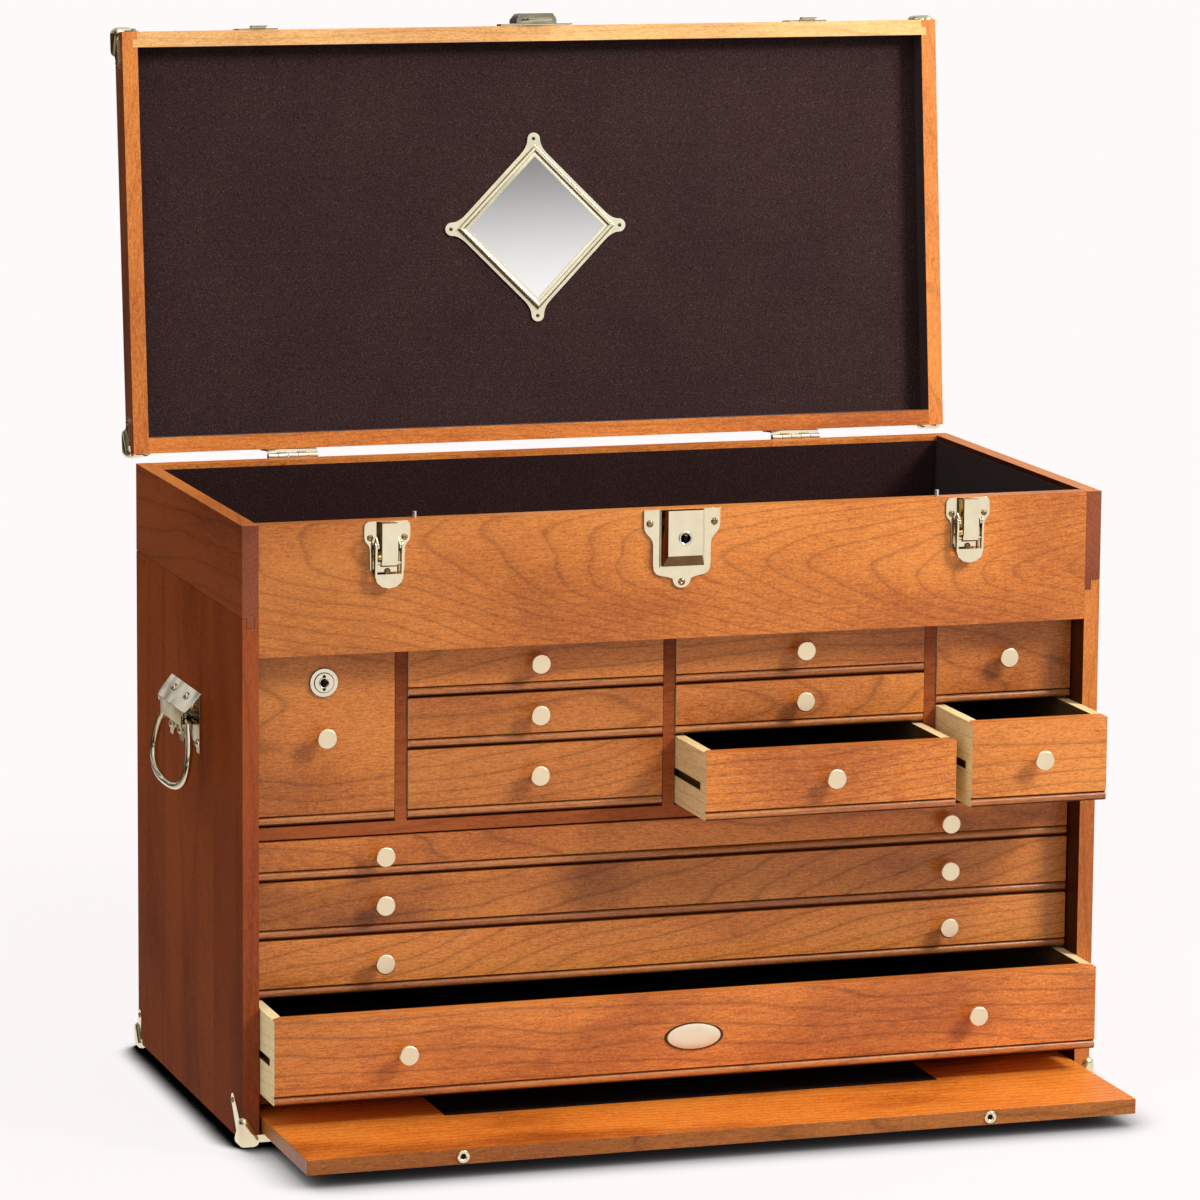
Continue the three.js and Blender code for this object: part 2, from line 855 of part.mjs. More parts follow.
function lidCase() {
  const half = caseWidth / 2;
  const shell = block([-half, half], [lidFrontY, lidBackY], [lidZ, lidZ + lidHeight]);
  const room = block(
    [boardThickness - half, half - boardThickness],
    [lidFrontY + boardThickness, lidBackY - boardThickness],
    [lidZ - overrun, lidZ + lidHeight - lidPanelThickness],
  );
  const corner = cornerGuard(lidGuard, guard.capRadius);
  const guards = [-1, 1].flatMap((side) => [
    placed(corner, [side * half, lidFrontY, lidZ + lidHeight], [-side, 1, -1]),
    placed(corner, [side * half, lidBackY, lidZ + lidHeight], [-side, -1, -1]),
  ]);
  return join([cut(shell, [room]), ...guards, catchPlate(-1), catchPlate(1)]);
}

// The mirror hangs under the lid's panel; a lathe of four sides mitres its corners.
const mirrorY = lidBackY - mirror.height;
const mirrorZ = lidZ + lidHeight - lidPanelThickness - lidPieceGap;

function squareRing(profile) {
  const points = profile.map(([radius, out]) => new THREE.Vector2(radius, out));
  const geometry = new THREE.LatheGeometry(points, 4);
  geometry.rotateX(-Math.PI / 2);
  return solid(geometry);
}

function mirrorFrame() {
  const { outer, glass, flange, mould, rabbet, seat, earRadius, earReach, earSpread } = mirror;
  const band = outer - glass;
  const moulding = squareRing([
    [glass + seat, 0],
    [outer, 0],
    [outer, flange],
    ...mouldingShares.map(([share, rise]) => [outer - band * share, flange + (mould - flange) * rise]),
    [glass, rabbet + flange / 2],
    [glass, rabbet],
    [glass + seat, rabbet],
    [glass + seat, 0],
  ]);
  const spread = outer - earSpread;
  const ear = new THREE.Shape();
  ear.moveTo(spread, earSpread);
  ear.quadraticCurveTo(outer - earRadius, earRadius, earReach, earRadius);
  ear.absarc(earReach, 0, earRadius, Math.PI / 2, -Math.PI / 2, true);
  ear.quadraticCurveTo(outer - earRadius, -earRadius, spread, -earSpread);
  ear.lineTo((outer + glass) / 2, 0);
  const ears = [0, 1, 2, 3].map((quarter) => {
    const geometry = new THREE.ExtrudeGeometry(ear, { depth: flange, bevelEnabled: false, curveSegments: arcSteps });
    geometry.translate(0, 0, -flange);
    geometry.rotateZ(quarter * Math.PI / 2);
    return solid(geometry);
  });
  return join([moulding, ...ears]);
}

function mirrorGlass() {
  const { glass, seat, rabbet, glassThickness } = mirror;
  const geometry = new THREE.CylinderGeometry(
    glass + seat - lidPieceGap,
    glass + seat - lidPieceGap,
    glassThickness,
    4,
  );
  geometry.rotateX(-Math.PI / 2);
  geometry.translate(0, 0, -rabbet + lidPieceGap + glassThickness / 2);
  return solid(geometry);
}

// The hasp on the lid: plate, bevelled box and the tongue that drops into the lock.
function lidHasp() {
  const { plateWidth, plateThickness, foot, height, boxWidth, boxWall, boxOut, tongueWidth } = hasp;
  const plate = frontPlate(outline([
    [-plateWidth / 2, foot],
    [plateWidth / 2, foot],
    ...arc(plateWidth / 2 - height / 3, foot + height / 2, height / 3, 0, Math.PI / 2),
    ...arc(height / 3 - plateWidth / 2, foot + height / 2, height / 3, Math.PI / 2, Math.PI),
  ]), 0, plateThickness);
  const box = raisedBox({
    width: boxWidth,
    levels: [foot, foot + height],
    outs: [plateThickness / 2, boxWall, boxOut],
    bevels: [lock.bevel, 0, lock.bevel],
  });
  const tongue = block(
    [-tongueWidth / 2, tongueWidth / 2],
    [-hasp.tongueOut, hasp.tongueThickness - hasp.tongueOut],
    [-hasp.tongueDrop, foot + height / 2],
  );
  return join([plate, box, tongue]);
}

// A box that stands out from a front plate: straight walls from the first out to the
// second, then bevels at the sides, the bottom and the top up to its face at the third.
function raisedBox({ width, levels: [low, high], outs: [inner, wall, face], bevels: [ends, below, above] }) {
  const half = width / 2;
  const ring = (out, shrinkEnds, shrinkBelow, shrinkAbove) => [-1, 1].flatMap((side) => [
    [side * (half - shrinkEnds), -out, low + shrinkBelow],
    [side * (half - shrinkEnds), -out, high - shrinkAbove],
  ]);
  return wasm.Manifold.hull([
    ...ring(inner, 0, 0, 0),
    ...ring(wall, 0, 0, 0),
    ...ring(face, ends, below, above),
  ]);
}

function shieldOutline() {
  const { plateWidth, waistWidth, top, shoulderHeight, waistHeight, cornerHeight, plateHeight, tipRadius } = lock;
  const half = plateWidth / 2;
  const waist = waistWidth / 2;
  const bend = -(shoulderHeight + waistHeight) / 2;
  const shape = new THREE.Shape();
  shape.moveTo(-half, -top);
  shape.lineTo(half, -top);
  shape.lineTo(half, -shoulderHeight);
  shape.bezierCurveTo(half, bend, waist, bend, waist, -waistHeight);
  shape.lineTo(waist, -cornerHeight);
  shape.bezierCurveTo(waist, -plateHeight + tipRadius, tipRadius * 2, -cornerHeight - tipRadius, tipRadius, -plateHeight + tipRadius);
  shape.absarc(0, -plateHeight + tipRadius, tipRadius, 0, -Math.PI, true);
  shape.bezierCurveTo(-tipRadius * 2, -cornerHeight - tipRadius, -waist, -plateHeight + tipRadius, -waist, -cornerHeight);
  shape.lineTo(-waist, -waistHeight);
  shape.bezierCurveTo(-waist, bend, -half, bend, -half, -shoulderHeight);
  return shape;
}

function lockCase() {
  const { plateThickness, top, plinthStep, plinthOut, housingWidth, housingHeight } = lock;
  const { housingWall, housingOut, bevel, lowerBevel, ringRadius, ringOut } = lock;
  const plate = frontPlate(shieldOutline(), 0, plateThickness);
  const plinthHalf = housingWidth / 2 + plinthStep;
  const plinth = block([-plinthHalf, plinthHalf], [-plinthOut, 0], [-housingHeight - plinthStep, -top]);
  const housing = raisedBox({
    width: housingWidth,
    levels: [-housingHeight, -top],
    outs: [plateThickness, housingWall, housingOut],
    bevels: [bevel, lowerBevel, 0],
  });
  const ring = rodAlongY(ringRadius, -housingOut - ringOut, -housingWall, 0, -lock.keyDrop);
  const slot = block(
    [-lock.slotWidth / 2, lock.slotWidth / 2],
    [-lock.slotOut, -lock.slotIn],
    [-lock.slotDepth, overrun],
  );
  const bore = rodAlongY(
    lock.plugRadius + lock.plugPlay,
    -housingOut - overrun,
    lock.plugDepth - housingOut + lock.plugPlay,
    0,
    -lock.keyDrop,
  );
  return cut(join([plate, plinth, housing, ring]), [slot, bore]);
}

// Parts of a draw latch, about the middle of its plate's top edge.
function latchPlate() {
  const { plateWidth, plateThickness, plateTop, shoulderHeight, neckHeight, neckWidth, plateHeight } = latch;
  const { cornerHeight, cornerWidth, footWidth, plateCorner, earInner, earThickness, earReach, earHeight, pivotOut, pivotDrop } = latch;
  const half = plateWidth / 2;
  const neck = neckWidth / 2;
  const bend = -(shoulderHeight + neckHeight) / 2;
  const shape = new THREE.Shape();
  shape.moveTo(-half + plateCorner, -plateTop);
  shape.lineTo(half - plateCorner, -plateTop);
  shape.quadraticCurveTo(half, -plateTop, half, -plateTop - plateCorner);
  shape.lineTo(half, -shoulderHeight);
  shape.bezierCurveTo(half, bend, neck, bend, neck, -neckHeight);
  shape.lineTo(cornerWidth / 2, -cornerHeight);
  shape.lineTo(footWidth / 2, -plateHeight);
  shape.lineTo(-footWidth / 2, -plateHeight);
  shape.lineTo(-cornerWidth / 2, -cornerHeight);
  shape.lineTo(-neck, -neckHeight);
  shape.bezierCurveTo(-neck, bend, -half, bend, -half, -shoulderHeight);
  shape.lineTo(-half, -plateTop - plateCorner);
  shape.quadraticCurveTo(-half, -plateTop, -half + plateCorner, -plateTop);
  const bodies = [frontPlate(shape, 0, plateThickness)];
  for (const side of [-1, 1]) {
    const ends = [side * earInner, side * (earInner + earThickness)];
    bodies.push(barAlongX(outline([
      [-plateThickness / 2, -pivotDrop - earHeight / 2],
      [-plateThickness / 2, -pivotDrop + earHeight / 2],
      ...arc(-pivotOut, -pivotDrop, earReach - pivotOut, Math.PI / 2, 3 * Math.PI / 2),
    ]), Math.min(...ends), Math.max(...ends)));
    const pinEnd = earInner + earThickness + latch.armGap + latch.armThickness;
    bodies.push(rodAlongX(latch.pivotRadius, side * earInner, side * pinEnd, -pivotOut, -pivotDrop));
  }
  return join(bodies);
}

// The stirrup lever, about its own pivot.
function latchLever() {
  const { earInner, earThickness, armGap, armThickness, armWidth, pivotOut, pivotDrop, pivotRadius } = latch;
  const { pivotPlay, tabTop, tabHeight, tabThickness, tabOut, linkDrop, linkOut } = latch;
  const inner = earInner + earThickness + armGap;
  const outer = inner + armThickness;
  const tabZ = pivotDrop - tabTop;
  const tabY = pivotOut - tabOut;
  const bodies = [];
  for (const side of [-1, 1]) {
    const ends = [side * inner, side * outer];
    const arm = barAlongX(outline([
      ...arc(0, 0, armWidth / 2, 0, Math.PI),
      [tabY, tabZ],
      [tabY + tabThickness * 2, tabZ],
    ]), Math.min(...ends), Math.max(...ends));
    bodies.push(cut(arm, [rodAlongX(pivotRadius + pivotPlay, side * (inner - overrun), side * (outer + overrun), 0, 0)]));
  }
  const tab = frontPlate(outline([
    [-outer, tabZ + tabThickness],
    ...arc(0, 0, 1, Math.PI, 2 * Math.PI).map(([a, b]) => [a * outer, tabZ + b * tabHeight]),
    [outer, tabZ + tabThickness],
  ]), -tabY - tabThickness, -tabY);
  const link = rodAlongX(pivotRadius, -outer + armThickness / 2, outer - armThickness / 2, pivotOut - linkOut, pivotDrop - linkDrop);
  return join([...bodies, tab, link]);
}

// The drawn hook, about the link it hangs on.
function latchHook() {
  const { hookWidth, hookThickness, hookOut, hookTop, hookFlange, hookTip, eyeRadius } = latch;
  const { linkDrop, linkOut, pivotRadius, pivotPlay } = latch;
  const half = hookWidth / 2;
  const webY = linkOut - hookOut;
  const topZone = linkDrop - hookTop;
  const web = block([-half, half], [webY, webY + hookThickness], [eyeRadius, topZone]);
  const nose = block([-half, half], [webY, linkOut - hookTip], [topZone - hookThickness, topZone]);
  const foot = barAlongX(outline([
    [webY, eyeRadius],
    [webY, eyeRadius + hookThickness],
    [webY + hookThickness, eyeRadius + hookThickness],
    [eyeRadius / 2, eyeRadius / 2],
    [-eyeRadius / 2, -eyeRadius / 2],
  ]), -half, half);
  const eye = rodAlongX(eyeRadius, -half, half, 0, 0, roundSegments);
  const flanges = [-1, 1].map((side) => block(
    [side * half, side * (half - hookThickness)],
    [webY, webY + hookFlange],
    [eyeRadius, topZone],
  ));
  const bore = rodAlongX(pivotRadius + pivotPlay, -half - overrun, half + overrun, 0, 0);
  return cut(join([web, nose, foot, eye, ...flanges]), [bore]);
}

// The folded sheet that holds a bail against a side, about the bail's axis line on the
// board's face. It is drawn for the left side, where outward is -X. Its lip and the fold
// under the bail's bar stop short of both ends, where the bail's legs come out.
function handleBracket() {
  const { length, sheet, roofTop, roofOut, roofDrop, lipDrop, lipWidth, endDrop, flangeDrop } = handle;
  const { roofCorner, scallopSpread, scallopRadius, scallopLow } = handle;
  const outer = barAlongY(outline([
    [0, roofTop],
    [0, -flangeDrop],
    [-sheet, -flangeDrop],
    [-sheet, -lipDrop],
    [-roofOut, -lipDrop],
    [-roofOut, roofDrop],
  ]), length);
  const hollow = barAlongY(outline([
    [-sheet, sheet - lipDrop],
    [-sheet, roofTop - 2 * sheet],
    [sheet - roofOut, roofDrop - sheet / 2],
    [sheet - roofOut, sheet - lipDrop],
  ]), length + overrun);
  const ends = [-1, 1].map((end) => block(
    [-sheet, -roofOut - overrun],
    [end * lipWidth / 2, end * (length / 2 + overrun)],
    [-lipDrop - overrun, endDrop],
  ));
  const corners = [-1, 1].map((end) => {
    const y = end * (length / 2 - roofCorner);
    const x = roofCorner - roofOut;
    const square = block(
      [x, x - roofCorner - overrun],
      [y, end * (length / 2 + overrun)],
      [-lipDrop - overrun, roofTop + overrun],
    );
    const round = rodAlongZ(roofCorner, -lipDrop - 2 * overrun, roofTop + 2 * overrun, x, y, roundSegments);
    return square.subtract(round);
  });
  const scallops = [-1, 0, 1].map((at) => rodAlongX(
    at === 0 ? scallopRadius * 2 / 3 : scallopRadius,
    -sheet - overrun,
    overrun,
    at * scallopSpread,
    -flangeDrop - scallopLow,
    roundSegments,
  ));
  return cut(outer, [hollow, ...ends, ...corners, ...scallops]);
}

// The bail hangs from its straight bar: rounded corners, legs that bow outwards and a
// round bottom.
function handleBail() {
  const { bailRadius, topWidth, bailCorner, bailWidth, bailDrop, bailWidestShare } = handle;
  const bar = topWidth / 2;
  const leg = bar + bailCorner;
  const wide = bailWidth / 2;
  const wideDrop = bailDrop * bailWidestShare;
  const point = (y, z) => new THREE.Vector3(0, y, -z);
  const corners = (end) => [
    [point(end * bar, 0), point(end * leg, 0), point(end * leg, bailCorner)],
    [point(end * leg, bailCorner), point(end * wide, wideDrop / 2), point(end * wide, wideDrop)],
    [point(end * wide, wideDrop), point(end * wide, bailDrop), point(0, bailDrop)],
  ];
  const path = new THREE.CurvePath();
  path.add(new THREE.LineCurve3(point(-bar, 0), point(bar, 0)));
  corners(1).forEach((bend) => path.add(new THREE.QuadraticBezierCurve3(...bend)));
  corners(-1).reverse().forEach((bend) => path.add(new THREE.QuadraticBezierCurve3(...bend.reverse())));
  return solid(new THREE.TubeGeometry(path, 3 * roundSegments, bailRadius, smallSegments * 2 / 3, true));
}

const chest = new THREE.Group();

chest.add(part('left_side', caseSide(-1), cherry));
chest.add(part('right_side', caseSide(1), cherry));
chest.add(part('back_board', block([-insideX, insideX], [insideBackY, backY], [footHeight, topZ]), cherry));
chest.add(part('front_board', frontBoard(), cherry));
chest.add(part('drawer_frame', drawerFrame(), cherry));
chest.add(part('slot_frame', slotFrame(), cherry));
for (const stack of stacks) {
  for (const place of placedDrawers(stack)) addDrawer(chest, place);
}
chest.add(part('front_panel', frontPanel(), cherry, [0, frontY - panel.out, bottomBoardTop + panel.play]));

chest.add(part('lock_case', lockCase(), brass, [0, frontY, topZ]));
chest.add(part(
  'lock_plug',
  keyPlug(lock.plugRadius, 0, lock.plugDepth, lock.keyWidth, lock.keyDepth),
  brass,
  [0, frontY - lock.housingOut, topZ - lock.keyDrop],
));

for (const [side, hand] of [[-1, 'left'], [1, 'right']]) {
  const pinY = frontY + boardThickness / 2;
  chest.add(part(`panel_pin_${hand}`, panelPin(), nickel, [side * lockPinX, pinY, 0]));
  chest.add(part(`latch_plate_${hand}`, latchPlate(), brass, [side * latchX, frontY, topZ]));
  const pivot = [side * latchX, frontY - latch.pivotOut, topZ - latch.pivotDrop];
  chest.add(part(`latch_lever_${hand}`, latchLever(), brass, pivot));
  const link = [side * latchX, frontY - latch.linkOut, topZ - latch.linkDrop];
  chest.add(part(`latch_hook_${hand}`, latchHook(), brass, link));
  const bracket = placed(handleBracket(), [0, 0, 0], [-side, 1, 1]);
  chest.add(part(`handle_bracket_${hand}`, bracket, nickel, [side * caseWidth / 2, handle.back, footHeight + handle.height]));
  const axis = [side * (caseWidth / 2 + handle.axisOut), handle.back, footHeight + handle.height];
  const bail = part(`handle_bail_${hand}`, handleBail(), nickel, axis);
  bail.rotation.y = -side * THREE.MathUtils.degToRad(handle.bailLean);
  chest.add(bail);
  const caseLeaf = hingeLeaf((knuckle) => knuckle % 2 === 0, true, 0);
  chest.add(part(`hinge_leaf_${hand}`, caseLeaf, brass, [side * hingeX, hingeY, hingeZ]));
}

// The lid stands open against the hinges' stops.
const lid = new THREE.Group();
lid.position.set(0, hingeY, hingeZ);
lid.rotation.x = -THREE.MathUtils.degToRad(lidOpenAngle);
lid.add(part('lid_case', lidCase(), cherry));
lid.add(part('lock_hasp', lidHasp(), brass, [0, lidFrontY - lidPieceGap, lidZ]));
lid.add(part('mirror_frame', mirrorFrame(), brass, [0, mirrorY, mirrorZ]));
lid.add(part('mirror_glass', mirrorGlass(), silvered, [0, mirrorY, mirrorZ]));
for (const [side, hand] of [[-1, 'left'], [1, 'right']]) {
  const leaf = hingeLeaf((knuckle) => knuckle % 2 === 1, false, lidPieceGap);
  const lidLeaf = placed(leaf, [0, 0, 0], [1, 1, -1]);
  lid.add(part(`lid_leaf_${hand}`, lidLeaf, brass, [side * hingeX, 0, 0]));
}
chest.add(lid);

export default chest;
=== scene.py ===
# %% [markdown]
# # A carpenter's tool chest in cherry
#
# The chest comes as a finished frame of wood and metal solids that already have their true
# sizes and move on their real joints. What is left for Blender is what the eye reads as
# material: lacquered cherry with its flame-shaped figure, pale maple, dark felt, bright
# plate and a small mirror. This script dresses the frame and never moves a part of it.

# %% Load the frame
import bpy
import bmesh
import math
from mathutils import Matrix, Vector


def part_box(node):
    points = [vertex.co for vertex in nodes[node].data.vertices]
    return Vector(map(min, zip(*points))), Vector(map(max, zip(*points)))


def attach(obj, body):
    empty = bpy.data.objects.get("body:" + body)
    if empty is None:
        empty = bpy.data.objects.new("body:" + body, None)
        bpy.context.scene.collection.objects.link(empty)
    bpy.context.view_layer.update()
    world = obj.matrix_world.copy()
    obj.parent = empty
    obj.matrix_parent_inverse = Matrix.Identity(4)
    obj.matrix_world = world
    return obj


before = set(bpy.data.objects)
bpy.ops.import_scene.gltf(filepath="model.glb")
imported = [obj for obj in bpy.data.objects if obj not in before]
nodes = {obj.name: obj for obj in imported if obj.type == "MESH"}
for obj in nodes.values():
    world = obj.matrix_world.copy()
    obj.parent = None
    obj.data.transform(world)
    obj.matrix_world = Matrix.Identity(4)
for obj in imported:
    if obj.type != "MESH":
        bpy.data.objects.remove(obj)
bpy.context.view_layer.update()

# %% [markdown]
# ## The camera
#
# A camera can be placed by eye, but then every length in the picture is a little wrong.
# Here its place and turn were solved from the chest's own corners in the photograph, so
# the numbers are simply written down. The lens is long, 180 mm on a 36 mm sensor, which
# is why the sides of the chest hardly run together.

# %% Place the camera
CAMERA_PLACE = Vector((-1.4779, -4.5164, 1.1852))
CAMERA_RIGHT = Vector((0.95145, -0.30770, 0.00804))
CAMERA_UP = Vector((0.04366, 0.16077, 0.98603))
CAMERA_LENS_MM, SENSOR_MM = 180.47, 36
SEES_TO = 50


def place_camera():
    data = bpy.data.cameras.new("camera")
    data.lens = CAMERA_LENS_MM
    data.sensor_width = SENSOR_MM
    data.clip_end = SEES_TO
    camera = bpy.data.objects.new("camera", data)
    bpy.context.collection.objects.link(camera)
    back = CAMERA_RIGHT.cross(CAMERA_UP).normalized()
    up = back.cross(CAMERA_RIGHT).normalized()
    turn = Matrix((CAMERA_RIGHT.normalized(), up, back)).transposed()
    camera.matrix_world = Matrix.Translation(CAMERA_PLACE) @ turn.to_4x4()
    bpy.context.scene.camera = camera
    return camera


camera = place_camera()
bpy.context.scene.view_settings.view_transform = "Standard"
print("camera at", [round(v, 3) for v in camera.matrix_world.translation])

# %% [markdown]
# ## Floor and light
#
# The photograph was made on white paper under large soft lamps. Making the paper white by
# pouring light on it would bleach the wood too. So the paper is a plain grey where light
# bounces off it onto the chest, paler where bright metal mirrors it, and palest where the
# camera looks at it: a material can tell which kind of ray is asking. What the camera sees
# is mostly glow, which takes no shadow, so the shade at the foot of the chest is a step of
# its own. Further out, the paper gives way to the white of the room, as a paper sweep does
# when it curves up.
#
# Nodes could be wired one line at a time, but that hides what they are for. These helpers
# add a node and connect it in one call, so a material reads like a recipe.

# %% Helpers that wire nodes
def node_maker(tree):
    """Three helpers for one node tree: make(kind, operation, Socket_Name=value or socket)
    adds a node, maths works on numbers, and spread maps one range softly onto another."""
    def make(kind, operation=None, **sockets):
        made = tree.nodes.new("ShaderNode" + kind)
        if operation:
            made.operation = operation
        for name, value in sockets.items():
            numbered = name[0] == "i" and name[1:].isdigit()
            socket = made.inputs[int(name[1:]) if numbered else name.replace("_", " ")]
            if isinstance(value, bpy.types.NodeSocket):
                tree.links.new(value, socket)
            else:
                socket.default_value = value
        return made

    def maths(operation, first, second=0.0):
        return make("Math", operation, i0=first, i1=second).outputs[0]

    def spread(value, source, target):
        made = make("MapRange", Value=value, From_Min=source[0], From_Max=source[1],
                    To_Min=target[0], To_Max=target[1])
        made.interpolation_type = "SMOOTHSTEP"
        return made.outputs["Result"]

    return make, maths, spread


def ray_kinds(make, maths):
    """Two masks: 1 where the camera looks, and 1 where polished metal or glass does."""
    path = make("LightPath").outputs
    in_metal = maths("MAXIMUM", path["Is Glossy Ray"], path["Is Transmission Ray"])
    return path["Is Camera Ray"], in_metal


def blended(make, factor, first, second):
    return make("MixShader", i0=factor, i1=first, i2=second).outputs[0]


def own_place(make):
    """Where a point lies on its own object, in metres."""
    return make("TexCoord").outputs["Object"]


print("helpers: make, maths, spread, ray_kinds, blended, own_place")

# %% [markdown]
# Polished metal shows that the room is dark to the left: it is why the flanks of the
# latches that face left are nearly black beside their bright fronts. Wood takes only the
# sum of the light, and for it the room is a soft fill, a little stronger on the side that
# the lamp leaves out. Metal also sees the paper, up to the line where the paper ends and
# the grey wall begins, and the pale ceiling over that. The little mirror looks
# straight at the line, so its glass runs from grey at the upper corner to white at the
# lower one. The far side of the room is uneven, which only the round metal shows: slow
# streaks of noise do for that.

# %% World
PAPER = (1.0, 0.955, 0.955, 1)
PLAIN_LIGHT = (1, 1, 1, 1)
# From the room's left to its right, with the tone at both ends, for wood and for metal.
ROOM_AXIS = Vector((0.8, -0.5, 0.34)).normalized()
WOOD_SPAN, ROOM_FOR_WOOD = (-0.8, 0.8), (0.84, 0.5)
METAL_SPAN, ROOM_FOR_METAL = (-0.7, 0.5), (0.05, 1.1)
# The wall and the ceiling start where a direction climbs past these heights.
HORIZON, WALL_SHARE = (0.075, 0.104), 0.26
CEILING = (0.2, 0.45)
BEHIND, BEHIND_FOR_METAL = (0.2, 0.9), 0.8
STREAK_SCALE, STREAK_EDGES, STREAK_TONES = 5.0, (0.42, 0.58), (0.12, 1.0)


def paper_world():
    world = bpy.data.worlds.new("studio")
    world.use_nodes = True
    bpy.context.scene.world = world
    world.node_tree.nodes.clear()
    make, maths, spread = node_maker(world.node_tree)
    by_camera, in_metal = ray_kinds(make, maths)
    direction = make("TexCoord").outputs["Generated"]
    axes = make("SeparateXYZ", Vector=direction).outputs
    towards = make("VectorMath", "DOT_PRODUCT", i0=direction, i1=ROOM_AXIS).outputs["Value"]
    for_wood = spread(towards, WOOD_SPAN, ROOM_FOR_WOOD)
    left_to_right = spread(towards, METAL_SPAN, ROOM_FOR_METAL)
    above_paper = maths("MAXIMUM", spread(axes["Z"], HORIZON, (1.0, WALL_SHARE)),
                        spread(axes["Z"], CEILING, (0.0, 1.0)))
    clutter = make("TexNoise", Vector=direction, Scale=STREAK_SCALE, Detail=1.0).outputs["Fac"]
    behind = maths("MULTIPLY", spread(axes["Y"], BEHIND, (0.0, BEHIND_FOR_METAL)),
                   spread(clutter, STREAK_EDGES, STREAK_TONES))
    for_metal = maths("MAXIMUM", maths("MULTIPLY", left_to_right, above_paper), behind)

    def light(colour, strength):
        return make("Background", Color=colour, Strength=strength).outputs[0]

    room = blended(make, in_metal, light(PLAIN_LIGHT, for_wood), light(PLAIN_LIGHT, for_metal))
    seen = blended(make, by_camera, room, light(PAPER, 1.0))
    make("OutputWorld", Surface=seen)


paper_world()
print("world made")

# %% [markdown]
# Right under an edge hardly any light reaches paper, so a real shadow ends in black there.
# A small area lamp would draw that line too hard. Ambient occlusion measures how much of
# the sky a point of the floor can see, so it darkens just the last few centimetres. Beside
# the chest that shade ends soon; in front, where the light comes from above, it is longer
# and thinner. So the two are shaped apart and meet along the line of the front.

# %% Contact shadow
CONTACT_REACH, CONTACT_RAYS = 0.048, 32
SIDE_FADE = (0.57, 0.83)
FRONT_LIFT, FRONT_FALL = 1.06, 1.67
FRONT_LINE = (-0.2, -0.165)


def contact_shadow(make, maths, spread, depth):
    """From 0, where the paper is shut in under the chest, to 1, where it lies open."""
    occlusion = make("AmbientOcclusion", Distance=CONTACT_REACH)
    occlusion.samples = CONTACT_RAYS
    openness = occlusion.outputs["AO"]
    beside = spread(openness, SIDE_FADE, (0.0, 1.0))
    lifted = maths("MINIMUM", maths("MULTIPLY", openness, FRONT_LIFT), 1.0)
    before = maths("POWER", lifted, FRONT_FALL)
    in_front = spread(depth, FRONT_LINE, (1.0, 0.0))
    return maths("ADD", maths("MULTIPLY", before, in_front),
                 maths("MULTIPLY", beside, maths("SUBTRACT", 1.0, in_front)))


print("contact shadow reaches", CONTACT_REACH, "m")

# %% The paper that metal mirrors
PAPER_IN_METAL = 0.95
LEFT_EDGE, LEFT_TONE = (-1.1, -0.3), 0.03
NEAR_BEHIND, NEAR_TONE = (-0.5, 0.1), 0.42
FAR_BEHIND, FAR_SHARE = (0.45, 1.1), 0.12
FLOOR_STREAK_SCALE, FLOOR_STREAK_TONES = 4.5, (0.05, 1.0)
# Green and blue fall off faster than red, so the dark reflections turn warm.
GREEN_FALL, BLUE_FALL = 1.15, 1.4


def paper_in_metal(make, maths, spread, place, axes):
    """Pale to the right and dark to the left, with streaks behind the chest."""
    from_left = spread(axes["X"], LEFT_EDGE, (LEFT_TONE, PAPER_IN_METAL))
    behind = maths("MULTIPLY", spread(axes["Y"], NEAR_BEHIND, (0.0, NEAR_TONE)),
                   spread(axes["Y"], FAR_BEHIND, (1.0, FAR_SHARE)))
    clutter = make("TexNoise", Vector=place, Scale=FLOOR_STREAK_SCALE, Detail=1.0)
    streaks = spread(clutter.outputs["Fac"], STREAK_EDGES, FLOOR_STREAK_TONES)
    tone = maths("MAXIMUM", from_left, maths("MULTIPLY", behind, streaks))
    return make("CombineXYZ", X=tone, Y=maths("POWER", tone, GREEN_FALL),
                Z=maths("POWER", tone, BLUE_FALL)).outputs[0]


print("paper in metal from", LEFT_TONE, "to", PAPER_IN_METAL)

# %% Paper floor
FLOOR_SIZE = 60
PAPER_SHADE = (0.5, 0.5, 0.5, 1)
GLOW, SHADED = 0.92, 0.07
SWEEP = (0.75, 1.3)


def dimmed(colour, share):
    return tuple(share * channel for channel in colour)


def new_material(name):
    """An empty material, its node tree and the three helpers for it."""
    material = bpy.data.materials.new(name)
    material.use_nodes = True
    tree = material.node_tree
    tree.nodes.clear()
    return (material, tree, *node_maker(tree))


